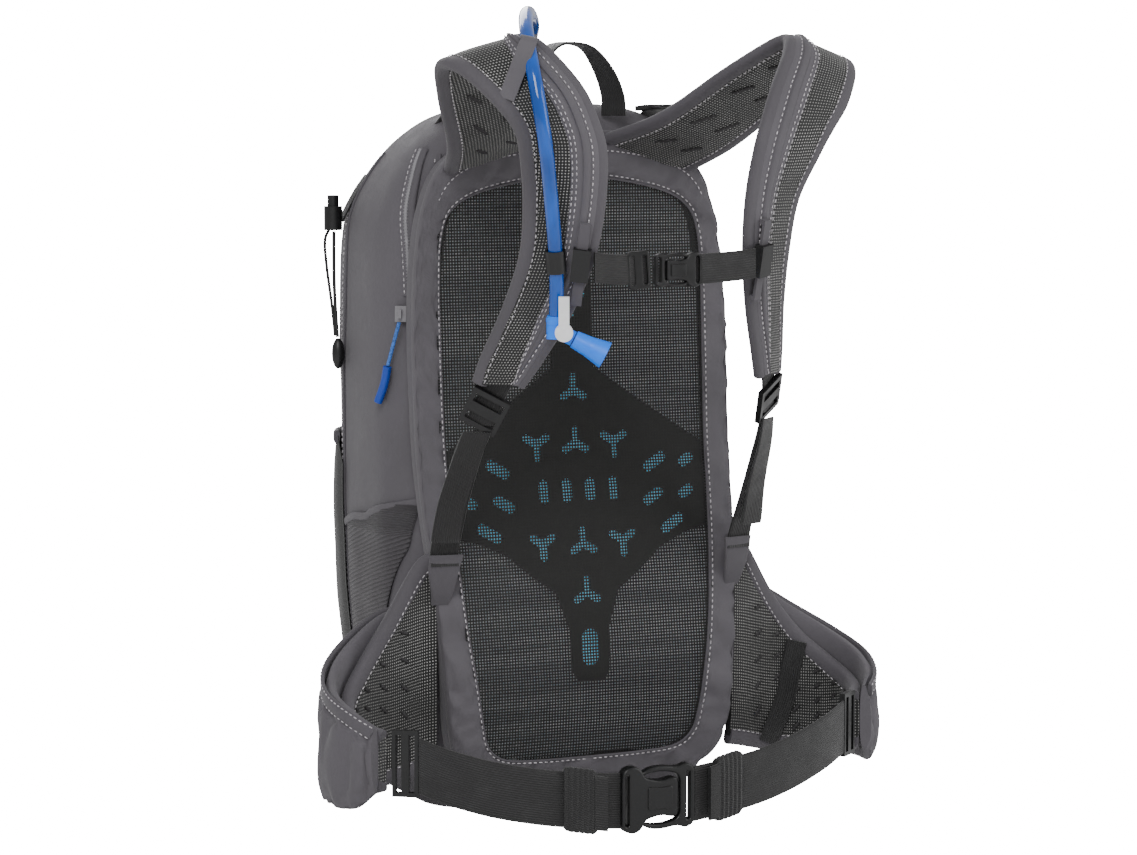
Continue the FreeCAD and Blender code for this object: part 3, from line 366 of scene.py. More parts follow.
GREY = srgb(82, 79, 84)
LOOK = {
    "grey_fabric": fabric("grey_fabric", GREY),
    "grey_smooth": fabric("grey_smooth", srgb(86, 83, 88), 0.5),
    "grey_binding": fabric("grey_binding", srgb(76, 73, 78), 0.35),
    "grey_stretch": fabric("grey_stretch", srgb(70, 67, 71), 0.5, 0.0034),
    "black_mesh": spacer_mesh("black_mesh", srgb(11, 11, 11), srgb(178, 177, 175)),
    "dark_mesh": spacer_mesh("dark_mesh", srgb(10, 10, 10), srgb(60, 58, 56)),
    "net_yarn": braid("net_yarn", srgb(13, 13, 12)),
    "vent_plate": plastic("vent_plate", srgb(15, 14, 13), 0.6, 700),
    "blue_foam": foam("blue_foam", srgb(136, 228, 255), srgb(212, 212, 210)),
    "stiffener": plastic("stiffener", srgb(60, 60, 62), 0.5),
    "black_webbing": webbing("black_webbing", srgb(20, 19, 20)),
    "slider_grey": plastic("slider_grey", srgb(120, 118, 122), 0.4),
    "dark_webbing": webbing("dark_webbing", srgb(42, 40, 42), 0.0008),
    "black_plastic": plastic("black_plastic", srgb(15, 15, 16)),
    "blue_tube": clear_tube("blue_tube", srgb(0, 78, 172)),
    "blue_valve": matte_rubber("blue_valve", srgb(0, 122, 252)),
    "lever_grey": matte_rubber("lever_grey", srgb(228, 228, 230), 0.35),
    "pull_blue": matte_rubber("pull_blue", srgb(8, 62, 164)),
    "pull_cord": braid("pull_cord", srgb(60, 110, 190)),
    "black_cord": braid("black_cord", srgb(30, 30, 30)),
    "thread": braid("thread", srgb(186, 182, 186)),
    "dark_thread": braid("dark_thread", srgb(40, 38, 40)),
}


# ------------------------------------------------------------------ mesh helpers
def through(keys, spans=6):
    """Rows of numbers on smooth curves through the key rows."""
    k = np.array(keys, float)
    k = np.vstack([2 * k[0] - k[1], k, 2 * k[-1] - k[-2]])
    steps = np.linspace(0, 1, spans, endpoint=False)[:, None]
    rows = []
    for a, b, c, d in zip(k, k[1:], k[2:], k[3:]):
        rows.append(0.5 * (2 * b + (c - a) * steps + (2 * a - 5 * b + 4 * c - d) * steps ** 2
                           + (3 * b - a - 3 * c + d) * steps ** 3))
    return np.vstack(rows + [k[-2:-1]])


def unit(vectors):
    v = np.asarray(vectors, float)
    return v / np.maximum(np.linalg.norm(v, axis=-1, keepdims=True), 1e-9)


def superellipse(angles, exponent):
    c, s = np.cos(angles), np.sin(angles)
    return (np.sign(c) * np.abs(c) ** (2 / exponent), np.sign(s) * np.abs(s) ** (2 / exponent))


def section(sides, exponent):
    """Superellipse of half width 1, as the across and deep shares of each corner."""
    return superellipse(np.linspace(0, 2 * np.pi, sides, endpoint=False), exponent)


def make_object(name, verts, faces, uvs, surfaces, slots=None):
    """Mesh object from vertices in millimetres; uvs hold one (u, v) in metres per face corner."""
    mesh = bpy.data.meshes.new(name)
    mesh.from_pydata((np.asarray(verts) * MM).tolist(), [], faces)
    layer = mesh.uv_layers.new(name="metres")
    layer.data.foreach_set("uv", np.asarray(uvs, float).ravel())
    for surface in surfaces:
        mesh.materials.append(LOOK[surface])
    if slots is not None:
        mesh.polygons.foreach_set("material_index", slots)
    mesh.polygons.foreach_set("use_smooth", [True] * len(faces))
    mesh.set_sharp_from_angle(angle=math.radians(52))
    mesh.update()
    obj = bpy.data.objects.new(name, mesh)
    bpy.context.collection.objects.link(obj)
    return obj


def skin(name, rows, *surfaces, caps=True, paint=None):
    """Surface over rings of points; caps closes the two ends.

    paint(row, column) gives the index of a face's surface."""
    rows = np.asarray(rows, float)
    n, m = rows.shape[:2]
    around = np.concatenate([rows, rows[:, :1]], axis=1)
    u = np.zeros(around.shape[:2])
    u[:, 1:] = np.cumsum(np.linalg.norm(np.diff(around, axis=1), axis=2), axis=1)
    u = (u - u[:, -1:] / 2) * MM
    v = np.zeros(n)
    v[1:] = np.cumsum(np.linalg.norm(np.diff(rows, axis=0), axis=2).mean(axis=1)) * MM
    faces, uvs, slots = [], [], []
    for i in range(n - 1):
        for j in range(m):
            k = (j + 1) % m
            faces.append((i * m + j, i * m + k, (i + 1) * m + k, (i + 1) * m + j))
            uvs += [(u[i, j], v[i]), (u[i, j + 1], v[i]), (u[i + 1, j + 1], v[i + 1]),
                    (u[i + 1, j], v[i + 1])]
            slots.append(paint(i, j) if paint else 0)
    if caps:
        for i, ring in ((0, range(m - 1, -1, -1)), (n - 1, range(m))):
            ring = list(ring)
            faces.append([i * m + j for j in ring])
            uvs += [(rows[i, j, 0] * MM, rows[i, j, 2] * MM) for j in ring]
            slots.append(slots[0])
    obj = make_object(name, rows.reshape(-1, 3), faces, uvs, surfaces, slots)
    shape = bmesh.new()
    shape.from_mesh(obj.data)
    bmesh.ops.recalc_face_normals(shape, faces=shape.faces)
    shape.to_mesh(obj.data)
    shape.free()
    return obj


def piece(obj, finish, *stands_for, body="pack", fill=None):
    """Ties a piece to its body, or bakes its placement when given two bodies, and hides the CAD nodes
    it stands for.
    """
    if isinstance(body, tuple):
        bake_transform(obj)
    else:
        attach(obj, body)
    if stands_for:
        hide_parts(*stands_for)
    return obj


SETTLING_FRAMES = 20


def filled(obj, held, slack, pressure, cap):
    """Cloth simulation of a stuffed piece: slack cloth under pressure, held at its seams.

    held lists the vertices that are sewn down; cap is the furthest a point may move, in metres."""
    mesh = obj.data
    rest = np.array([v.co for v in mesh.vertices])
    seams = obj.vertex_groups.new(name="seams")
    seams.add([int(k) for k in held], 1.0, "REPLACE")
    cloth = obj.modifiers.new("filling", "CLOTH")
    for setting, value in (("quality", 6), ("mass", 0.25), ("tension_stiffness", 12),
                           ("compression_stiffness", 12), ("shear_stiffness", 4),
                           ("bending_stiffness", 0.15), ("air_damping", 6), ("use_pressure", True),
                           ("uniform_pressure_force", pressure), ("shrink_min", -slack),
                           ("vertex_group_mass", "seams")):
        setattr(cloth.settings, setting, value)
    cloth.settings.effector_weights.gravity = 0
    cloth.collision_settings.use_collision = False
    cloth.point_cache.frame_start = 1
    cloth.point_cache.frame_end = SETTLING_FRAMES
    for frame_number in range(1, SETTLING_FRAMES + 1):
        bpy.context.scene.frame_set(frame_number)
    settled = obj.evaluated_get(bpy.context.evaluated_depsgraph_get())
    moved = np.array([v.co for v in settled.data.vertices]) - rest
    obj.modifiers.remove(cloth)
    obj.vertex_groups.remove(seams)
    bpy.context.scene.frame_set(1)
    reach = np.linalg.norm(moved, axis=1, keepdims=True)
    moved *= np.minimum(1.0, cap / np.maximum(reach, 1e-9))
    mesh.vertices.foreach_set("co", (rest + moved).ravel())
    mesh.update()
    return obj


def mirrored(points, side):
    return np.asarray(points, float) * (side, 1, 1)


def path_frames(path, out):
    """Direction, outward normal and sideways direction at each point of a path."""
    path = np.asarray(path, float)
    run = unit(np.gradient(path, axis=0))
    out = unit(np.broadcast_to(np.asarray(out, float), path.shape))
    out = unit(out - run * (run * out).sum(axis=1, keepdims=True))
    return run, out, np.cross(run, out)


def swept(path, out, half_wide, half_thick, exponent=2.0, sides=12):
    """Rings of a superellipse section along a path, thick along out."""
    path = np.asarray(path, float)
    _, normal, aside = path_frames(path, out)
    a, b = section(sides, exponent)
    half_wide = np.broadcast_to(np.asarray(half_wide, float).reshape(-1, 1, 1), (len(path), 1, 1))
    return (path[:, None] + aside[:, None] * a[None, :, None] * half_wide
            + normal[:, None] * b[None, :, None] * half_thick)


def band(name, path, out, half_wide, half_thick, exponent, sides, look, slot="grey_fabric",
         caps=True):
    """A swept piece that rides on the pack."""
    rings = swept(path, out, half_wide, half_thick, exponent, sides)
    return piece(skin(name, rings, look, caps=caps), slot)


def ribbon_rows(path, across, width, thick):
    """Rings of flat webbing with soft edges; across is the width direction at each point."""
    path = np.asarray(path, float)
    across = unit(np.broadcast_to(np.asarray(across, float), path.shape))
    run = unit(np.gradient(path, axis=0))
    normal = unit(np.cross(across, run))
    half = np.array([-1, -0.97, -0.8, -0.4, 0, 0.4, 0.8, 0.97, 1])
    edge = np.array([0.35, 0.85, 1, 1, 1, 1, 1, 0.85, 0.35])
    a = np.concatenate([half, half[::-1]]) * width / 2
    b = np.concatenate([edge, -edge[::-1]]) * thick / 2
    return path[:, None] + across[:, None] * a[None, :, None] + normal[:, None] * b[None, :, None]


def rounded(corners):
    """Closed outline through (x, z, radius) corners, with a smooth turn at each."""
    corners = np.asarray(corners, float)
    outline = []
    for before, corner, after in zip(np.roll(corners, 1, axis=0), corners,
                                     np.roll(corners, -1, axis=0)):
        here = corner[:2]
        arms = []
        for other in (before[:2], after[:2]):
            length = np.linalg.norm(other - here)
            arms.append(here + (other - here) / length * min(corner[2], 0.48 * length))
        for t in np.linspace(0, 1, 7):
            outline.append((1 - t) ** 2 * arms[0] + 2 * t * (1 - t) * here + t * t * arms[1])
    return np.array(outline)


def moulding(name, outline, holes, thick, place, along, up, edge):
    """Flat moulding with rolled edges, from an outline in its own plane; along and up place it."""
    curve = bpy.data.curves.new(name, "CURVE")
    curve.dimensions = "2D"
    curve.fill_mode = "BOTH"
    for loop in [outline] + holes:
        line = curve.splines.new("POLY")
        line.points.add(len(loop) - 1)
        for point, (x, z) in zip(line.points, loop):
            point.co = (x * MM, z * MM, 0, 1)
        line.use_cyclic_u = True
    curve.extrude = (thick / 2 - edge) * MM
    curve.bevel_depth = edge * MM
    curve.offset = -edge * MM
    curve.bevel_resolution = 4
    holder = bpy.data.objects.new(name + "_outline", curve)
    bpy.context.collection.objects.link(holder)
    bpy.context.view_layer.update()
    settled = holder.evaluated_get(bpy.context.evaluated_depsgraph_get())
    mesh = bpy.data.meshes.new_from_object(settled)
    bpy.data.objects.remove(holder)
    bpy.data.curves.remove(curve)
    mesh.name = name
    along = unit(along)
    up = unit(np.asarray(up, float) - along * np.dot(along, up))
    turn = np.column_stack([along, up, np.cross(along, up)])
    places = np.array([v.co for v in mesh.vertices]) @ turn.T + np.asarray(place) * MM
    mesh.vertices.foreach_set("co", places.ravel())
    mesh.materials.clear()
    mesh.materials.append(LOOK["black_plastic"])
    mesh.polygons.foreach_set("use_smooth", [True] * len(mesh.polygons))
    mesh.set_sharp_from_angle(angle=math.radians(40))
    mesh.update()
    obj = bpy.data.objects.new(name, mesh)
    bpy.context.collection.objects.link(obj)
    return obj


def both_ways(half):
    """Closed outline from its lower half, whose upper half mirrors it."""
    return np.array(half + [(x, -z, radius) for x, z, radius in half[::-1]])


def slot_hole(x, half, wide):
    return rounded(both_ways([(x - wide / 2, -half, wide / 2), (x + wide / 2, -half, wide / 2)]))


# side-release buckle for a 38 mm strap: x along the strap, z across it, and a corner radius
SOCKET = both_ways([(-34, -20, 8), (-26, -23.5, 6), (-19.5, -21, 4), (-16.5, -14.5, 3),
                    (-5, -11.5, 8), (5, -14, 4), (8, -12, 3)])
PRONGS = np.roll(both_ways([(21.5, 19, 4), (15, 22.8, 4), (8, 20, 4), (-2, 21.8, 6),
                            (-12, 21.3, 5), (-18.5, 18, 2), (-18, 15.8, 1), (-11, 17.6, 4),
                            (-2, 17.9, 5), (7, 16, 4), (10, 12, 3)]), 1, axis=0)


def side_release(name, size_x, size_z, thick, place, bodies, nodes):
    """Socket half with its throat, and prong half with its two sprung arms."""
    scale = np.array([size_x, size_z, size_z])
    for word, corners, hole, deep, body, node in (
            ("socket", SOCKET, (-30, 17.5, 2.6), thick, bodies[0], nodes[0]),
            ("prongs", PRONGS, (16.5, 16.5, 2.4), thick * 0.72, bodies[1], nodes[1])):
        outline = rounded(corners * scale)
        slot = slot_hole(hole[0] * size_x, hole[1] * size_z, hole[2])
        part = moulding("%s_%s" % (name, word), outline, [slot], deep, place, (1, 0, 0), (0, 0, 1),
                        edge=thick * 0.17)
        piece(part, "black_plastic", node, body=body)
    panel = rounded(both_ways([(-15, -8.5, 3), (-5, -7, 6), (3.5, -8.5, 3)]) * scale)
    face = moulding(name + "_face", panel, [], 1.6, np.asarray(place) + (0, -thick / 2, 0),
                    (1, 0, 0), (0, 0, 1), edge=0.6)
    piece(face, "black_plastic", body=bodies[0])


def lengths_along(path):
    """Distance from the start of a path at each of its points."""
    return np.concatenate([[0], np.cumsum(np.linalg.norm(np.diff(path, axis=0), axis=1))])


def spaced(values, at, stops):
    """Rows of values, known at the distances in at, read off at the distances in stops."""
    return np.array([np.interp(stops, at, np.asarray(values)[:, k]) for k in range(3)]).T


STITCHES = []
STITCH_LONG, STITCH_RADIUS = 2.7, 0.42


def stitch(path, gap=1.5):
    """Adds a row of stitches along a path that lies on the cloth."""
    path = np.asarray(path, float)
    at = lengths_along(path)
    starts = np.arange(gap, at[-1] - STITCH_LONG, STITCH_LONG + gap)
    STITCHES.extend(zip(spaced(path, at, starts), spaced(path, at, starts + STITCH_LONG)))


def thread_mesh(name, surface):
    """All stitches as short spindles."""
    turns = np.linspace(0, 2 * np.pi, 6, endpoint=False)
    verts, faces = [], []
    for a, b in STITCHES:
        run = unit(b - a)
        side = unit(np.cross(run, (0.3, 0.5, 0.81)))
        up = np.cross(run, side)
        first = len(verts)
        verts.append(a)
        for share in (0.18, 0.82):
            middle = a + (b - a) * share
            verts += [middle + STITCH_RADIUS * (side * math.cos(t) + up * math.sin(t)) for t in turns]
        verts.append(b)
        for k in range(6):
            n = (k + 1) % 6
            faces.append((first, first + 1 + n, first + 1 + k))
            faces.append((first + 1 + k, first + 1 + n, first + 7 + n, first + 7 + k))
            faces.append((first + 7 + k, first + 7 + n, first + 13))
    corners = sum(len(face) for face in faces)
    return make_object(name, verts, faces, np.zeros((corners, 2)), [surface])


# ------------------------------------------------------------------ cords
def make_cords():
    for name, route, length, diameter, look, finish, node, body, far_end, stiffness, ends in (
            ("drink_tube_run", TUBE, 0.4065, 0.0095, "blue_tube", "blue_tube", "drink_tube", "pack",
             "fitting", "medium", ("valve_elbow", "bite_valve", "valve_lever")),
            ("zip_pull_cord", PULL, 0.0319, 0.0026, "pull_cord", "pull_blue", "reservoir_zip_cord",
             "reservoir_pull", "tool", "limp", ("reservoir_zip_grip",)),
            ("lock_cord", LOCK_CORD, 0.0753, 0.0026, "black_cord", "black_cord", "cord_lock_cord",
             "pack", "fitting", "limp", ("cord_lock_tip",))):
        cord = cord_curve(name, route, diameter, LOOK[look])
        piece(cord, finish, node, body=body)


make_cords()


# ------------------------------------------------------------------ back panel
PROFILE = [(0, -104), (28, -112), (52, -117), (85, -119.5), (120, -117), (178, -108), (230, -97),
           (268, -91), (345, -86), (405, -83), (450, -82), (500, -82)]
BORDER = [(0, 22), (50, 23), (84, 27), (101, 40), (108, 62), (111, 90), (114, 130), (117, 175),
          (120, 225), (121, 280), (121, 340), (118, 390), (111, 428), (98, 455), (75, 470), (40, 477),
          (0, 479)]
WINDOW = [(0, 39), (40, 39.5), (66, 42), (79, 52), (84, 70), (88, 95), (93, 130), (97, 175),
          (100, 225), (101, 270), (101.5, 320), (101.5, 370), (99.5, 404), (92, 423), (72, 435),
          (36, 443), (0, 446)]
BORDER_THICK = 12.0
MESH_NEAR = 2.5
PANEL_STACK = 14.6
profile_rows = through(PROFILE, 12)


def panel_y(z):
    """Wearer-side face of the back panel at height z."""
    return np.interp(z, profile_rows[:, 0], profile_rows[:, 1])


def make_border():
    """Crowned padded frame round the mesh window, with its seams and stitching."""
    half = through([outer + inner for outer, inner in zip(BORDER, WINDOW)], 7)
    both = np.vstack([half, (half[1:-1] * (-1, 1, -1, 1))[::-1]])
    outer, inner = both[:, :2], both[:, 2:]
    a, b = section(30, 3.0)
    rows = []
    for o, i in zip(outer, inner):
        ring = []
        middle, reach = (o + i) / 2, (i - o) / 2
        for across, deep in zip(a, b):
            x, z = middle + reach * across
            crease = noise.noise(Vector((x * 0.045 + z * 0.03, z * 0.055, 3.1)))
            crease += 0.6 * noise.noise(Vector((x * 0.11 - z * 0.07, z * 0.12, 8.3)))
            lift = 1.3 * crease if deep < 0 else 0.0
            gather = math.exp(-((z - 176) / 26) ** 2) * max(0.0, 0.8 - abs(across))
            lift += 1.1 * gather * math.sin(z * 0.62 + across * 1.5) if deep < 0 else 0.0
            half_deep = BORDER_THICK / 2 + 0.4
            ring.append((x, panel_y(z) + BORDER_THICK / 2 + half_deep * deep - lift, z))
        rows.append(ring)
    rows = np.array(rows + [rows[0]])
    border = skin("back_border_pad", rows, "grey_fabric", caps=False)
    held = [i * len(a) + j for i in range(len(rows)) for j in range(len(a))
            if b[j] > -0.45 or abs(a[j]) > 0.90 or i < 1 or i > len(rows) - 2
            or (rows[i, j, 2] > 425 and abs(a[j] + 0.16) < 0.2)]
    filled(border, held, 0.05, 3.0, 0.0035)
    piece(border, "grey_padding", "back_border", fill=0.7)

    def on_border(share, lift=0.2):
        """Closed line at a share of the way from the outer to the inner edge."""
        points = outer + (inner - outer) * share
        points = np.vstack([points, points[:1]])
        depth = (1 - abs(2 * share - 1) ** 3) ** (1 / 3)
        y = panel_y(points[:, 1]) + (BORDER_THICK / 2 + 0.4) * (1 - depth) - lift
        return np.column_stack([points[:, 0], y - 0.6, points[:, 1]])

    stitch(on_border(0.925, 0.5))
    yoke = on_border(0.42, 0.3)
    yoke = yoke[yoke[:, 2] > 428]
    stitch(yoke[np.argsort(yoke[:, 0])])
    wall = np.vstack([outer, outer[:1]])
    wall_out = np.column_stack([wall[:, 0], 0 * wall[:, 0], wall[:, 1] - 250])
    wall = np.column_stack([wall[:, 0], panel_y(wall[:, 1]) + 12.5, wall[:, 1]])
    band("panel_side_cloth", wall - unit(wall_out) * 2.0, wall_out, 6.0, 1.2, 4.0, 12,
         "grey_fabric", caps=False)
    lip = on_border(0.985, 0.2)
    band("window_binding", lip, (0, -1, 0), 0.9, 0.9, 2.4, 10, "grey_binding", caps=False)


def make_net():
    """Stretched open net over the window, with real holes."""
    pitch, bar = 2.15, 0.56
    outline = through(WINDOW, 5)
    heights = np.arange(38, 451, pitch)
    half_widths = np.interp(heights, outline[:, 1], outline[:, 0])
    half_widths[heights < 40] = 60
    columns = np.arange(-104, 104.1, pitch)
    corner, verts, faces, uvs = {}, [], [], []

    def vertex(x, z):
        key = (round(x, 3), round(z, 3))
        if key not in corner:
            sag = 0.5 * noise.noise(Vector((x * 0.02, z * 0.09, 0.5)))
            wave = 0.35 * noise.noise(Vector((x * 0.01, z * 0.16, 4.0)))
            corner[key] = len(verts)
            verts.append((x + 0.5 * wave, panel_y(z) + MESH_NEAR + 0.8 + sag, z + 1.2 * wave))
        return corner[key]

    for z in heights[:-1]:
        limit = np.interp(z, heights, half_widths) + 2.0
        for x in columns[:-1]:
            if abs(x + pitch / 2) > limit:
                continue
            outside = [vertex(x, z), vertex(x + pitch, z), vertex(x + pitch, z + pitch),
                       vertex(x, z + pitch)]
            x0, x1, z0, z1 = x + bar, x + pitch - bar, z + bar, z + pitch - bar
            inside = [vertex(x0, z0), vertex(x1, z0), vertex(x1, z1), vertex(x0, z1)]
            for k in range(4):
                n = (k + 1) % 4
                faces.append((outside[k], outside[n], inside[n], inside[k]))
                uvs += [(0, 0), (0.002, 0), (0.002, 0.001), (0, 0.001)]
    net = make_object("back_net", verts, faces, uvs, ["net_yarn"])
    piece(net, "black_mesh", "back_mesh")


def paint_nodes():
    """Materials and softened edges for the CAD pieces that stay."""
    finish = {
        "black_plastic": [kind + end for end in ("_left", "_right") for kind in (
            "ladder_lock", "load_lifter_buckle", "sternum_slider", "belt_ladder")] + [
            "tube_clip", "tube_port", "main_zip_slider", "main_zip_pull", "cord_lock_body",
            "cord_lock_button", "cord_lock_tip"],
        "grey_binding": ["sternum_rail_left", "sternum_rail_right"],
        "slider_grey": ["reservoir_zip_slider"],
        "blue_valve": ["valve_elbow", "bite_valve"],
        "lever_grey": ["valve_lever"],
        "pull_blue": ["reservoir_zip_grip"],
        "vent_plate": ["back_vent_plate"],
        "blue_foam": ["back_foam_core"],
        "stiffener": ["back_frame_sheet"],
    }
    rounding = {"ladder_lock": 1.0, "belt_ladder": 1.0, "valve_lever": 1.2, "bite_valve": 1.0,
                "valve_elbow": 0.8, "sternum_slider": 1.4}
    for look, nodes in finish.items():
        for node in nodes:
            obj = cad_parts[node]
            for place in obj.material_slots:
                place.material = LOOK[look]
            if not obj.material_slots:
                obj.data.materials.append(LOOK[look])
            if node.startswith("back_"):
                continue
            bevel = obj.modifiers.new("soft edges", "BEVEL")
            kind = node.replace("_left", "").replace("_right", "")
            bevel.width = rounding.get(kind, 0.7) * MM
            bevel.segments = 3
            bevel.limit_method = "ANGLE"
            bevel.angle_limit = math.radians(40)
            bevel.harden_normals = False


make_border()
make_net()
paint_nodes()


# ------------------------------------------------------------------ bag body
# height, half width, front edge, and how far the back wall is moved in from the panel stack
LEVELS = [(0, 92, 58, 16), (3, 101, 70, 10), (12, 110, 79, 5), (32, 119, 85, 0.4), (60, 123.5, 87, 0),
          (85, 126.5, 88.5, 0), (115, 129, 90, 0), (150, 131, 91, 0), (190, 132, 91.5, 0),
          (230, 132.5, 91.5, 0), (310, 133, 90, 0), (370, 133, 88, 0), (400, 132, 85, 0),
          (422, 128.5, 79, 0), (445, 118, 66, 0), (462, 107, 54, 0), (474, 96, 42, 2), (485, 82, 26, 6),
          (492, 64, 12, 11), (496, 40, -2, 18)]
level_rows = through(LEVELS, 5)
BACK_CORNER, FRONT_CORNER = 4.4, 2.9


def drape(x, y, z):
    """How far the filled cloth stands in or out, in millimetres."""
    folds = noise.noise(Vector((x * 0.010, y * 0.026, z * 0.013)))
    folds += 0.5 * noise.noise(Vector((x * 0.03 + 5, y * 0.05, z * 0.022)))
    return 1.5 * folds


def bag_point(z, degrees, lift=0.0, side=1, folded=True):
    """Point on the bag at a height and turn: -90 mid back, 0 side, 90 mid front."""
    half, front, back_in = (np.interp(z, level_rows[:, 0], level_rows[:, k]) for k in (1, 2, 3))
    back = panel_y(z) + PANEL_STACK + back_in
    waist = back + 0.42 * (front - back)
    power = BACK_CORNER if degrees < 0 else FRONT_CORNER
    depth = waist - back if degrees < 0 else front - waist
    c, s = superellipse(math.radians(degrees), power)
    out = unit(((abs(c) + 1e-6) ** (power - 1) / half,
                math.copysign(abs(s) ** (power - 1), s) / depth, 0))
    x, y = c * half, waist + s * depth
    if folded:
        lift += drape(side * x, y, z)
    return np.array((side * (x + out[0] * lift), y + out[1] * lift, z))


def make_bag():
    """Filled shell with soft folds."""
    turns = np.concatenate([np.linspace(-90, 0, 34, endpoint=False),
                            np.linspace(0, 90, 27, endpoint=False)])
    rows = []
    for z in level_rows[:, 0]:
        right = [bag_point(z, t) for t in turns]
        left = [bag_point(z, t, side=-1) for t in turns[::-1]]
        rows.append(right + [bag_point(z, 90)] + left[:-1])
    piece(skin("bag_shell", rows, "grey_fabric"), "grey_fabric", "main_bag")


def turn_at(z, y):
    """Turn at which the side of the bag reaches depth y at height z."""
    turns = np.linspace(-70, 80, 61)
    return np.interp(y, [bag_point(z, t, folded=False)[1] for t in turns], turns)


def side_keys(*places):
    """(turn, height) keys from (depth, height) places on the side of the bag."""
    return [(turn_at(z, y), z) for y, z in places]


def on_bag(keys, side, lift):
    """Points and outward directions on the bag through (turn, height) keys."""
    rows = through(keys, 8)
    near = np.array([bag_point(z, turn, lift, side) for turn, z in rows])
    far = np.array([bag_point(z, turn, lift + 1, side) for turn, z in rows])
    return near, unit(far - near)


def bag_patch(name, outline, lift, thick, *surfaces, paint=None, puff=None):
    """Cloth layer on the bag; outline gives the two end turns, and a side for each, at each height."""
    rings = []
    shares = np.linspace(0, 1, 45)
    for z, (first, last, side) in outline:
        outer, inner = [], []
        for share in shares:
            turn = first + (last - first) * share
            which = side
            if turn > 90:
                turn, which = 180 - turn, -side
            more = puff(share, z) if puff else 0.0
            ends = min(share, 1 - share)
            soft = 0.35 if ends < 0.004 else 1.0
            outer.append(bag_point(z, turn, lift + more + thick * soft, which))
            inner.append(bag_point(z, turn, lift + more - thick * (soft - 1), which))
        rings.append(outer + inner[::-1])
    return skin(name, rings, *surfaces, paint=paint)


def make_front_pocket():
    """Bellows pocket over the front: grey face, black mesh sides, bound hem along its top."""
    heights = np.linspace(46, 258, 45)
    edge = {z: turn_at(z, 20 + 0.8 * max(0.0, z - 240)) for z in heights}
    outline = [(z, (edge[z], 180 - edge[z], 1)) for z in heights]
    face_from = 0.16

    def puff(share, z):
        side = min(share, 1 - share)
        height = math.sin(math.pi * np.clip((z - 46) / 212, 0, 1)) ** 0.5
        return 1.2 + height * (6.2 * np.clip(side / face_from, 0, 1) ** 0.7)

    def face(i, j):
        share = (j if j < 45 else 89 - j) / 44
        return 0 if min(share, 1 - share) > face_from else 1

    pocket = bag_patch("front_pocket", outline, 0.6, 1.8, "grey_fabric", "dark_mesh", paint=face,
                       puff=puff)
    piece(pocket, "grey_fabric", "front_pocket_panel")
    for word, side in SIDES:
        path, out = [], []
        for z in heights:
            turn = edge[z] + (180 - 2 * edge[z]) * face_from
            lift = 2.4 + puff(face_from, z)
            path.append(bag_point(z, turn, lift, side))
            out.append(bag_point(z, turn, lift + 1, side) - path[-1])
        band("pocket_piping_" + word, path, unit(out), 1.7, 1.7, 2.0, 10, "grey_binding")
        seam = [bag_point(z, edge[z] + (180 - 2 * edge[z]) * (face_from + 0.03),
                          2.9 + puff(face_from + 0.03, z), side) for z in heights]
        stitch(seam, gap=1.8)
    hem = []
    for share in np.linspace(0, 1, 91):
        turn = edge[258.0] + (180 - 2 * edge[258.0]) * share
        which = 1 if turn <= 90 else -1
        turn = turn if turn <= 90 else 180 - turn
        hem.append(bag_point(257, turn, 2.4 + puff(share, 257), which))
    hem = np.array(hem)
    out = np.column_stack([hem[:, 0], hem[:, 1] + 10, np.zeros(len(hem))])
    band("pocket_hem", hem, out, 5.0, 2.2, 3.0, 14, "grey_binding")


def make_side_pockets():
    """Ribbed stretch pocket on each side with an elastic hem that falls towards the front."""
    for word, side in SIDES:
        heights = np.linspace(52, 224, 40)
        outline = []
        for z in heights:
            back = np.interp(z, (52, 190), (-20, -74))
            front = np.interp(z, (200, 224), (15, -74))
            if front - back > 1.0:
                outline.append((z, (turn_at(z, back), turn_at(z, front), side)))
        pocket = bag_patch("side_pocket_cloth_" + word, outline, 0.5, 0.9, "grey_stretch",
                           puff=lambda share, z: 0.5 + 1.5 * math.sin(math.pi * share))
        piece(pocket, "grey_fabric", "side_pocket_" + word)
        keys = side_keys((-74, 222), (-45, 214), (-15, 206), (17, 198))
        path, out = on_bag(keys, side, 3.0)
        band("side_hem_" + word, path - out * 0.9, out, 2.8, 0.9, 3.0, 12, "grey_fabric")


def zip_track(name, path, out, tape, teeth_look, half_wide):
    """Zip tape with a row of teeth down its middle, and a stitched seam on both edges."""
    band(name + "_tape", path, out, half_wide, 0.7, 4.0, 14, tape)
    at = lengths_along(path)
    fine = np.arange(0, at[-1], 0.55)
    teeth = spaced(path, at, fine)
    normal = unit(spaced(out, at, fine))
    width = 1.5 + 0.45 * np.sin(fine * 2 * np.pi / 2.2)
    band(name + "_teeth", teeth + normal * 0.7, normal, width, 0.9, 2.2, 8, teeth_look,
         "black_plastic")
    _, normal, aside = path_frames(path, out)
    for edge in (0.8 - half_wide, half_wide - 0.8):
        stitch(path + aside * edge + normal * 0.8)


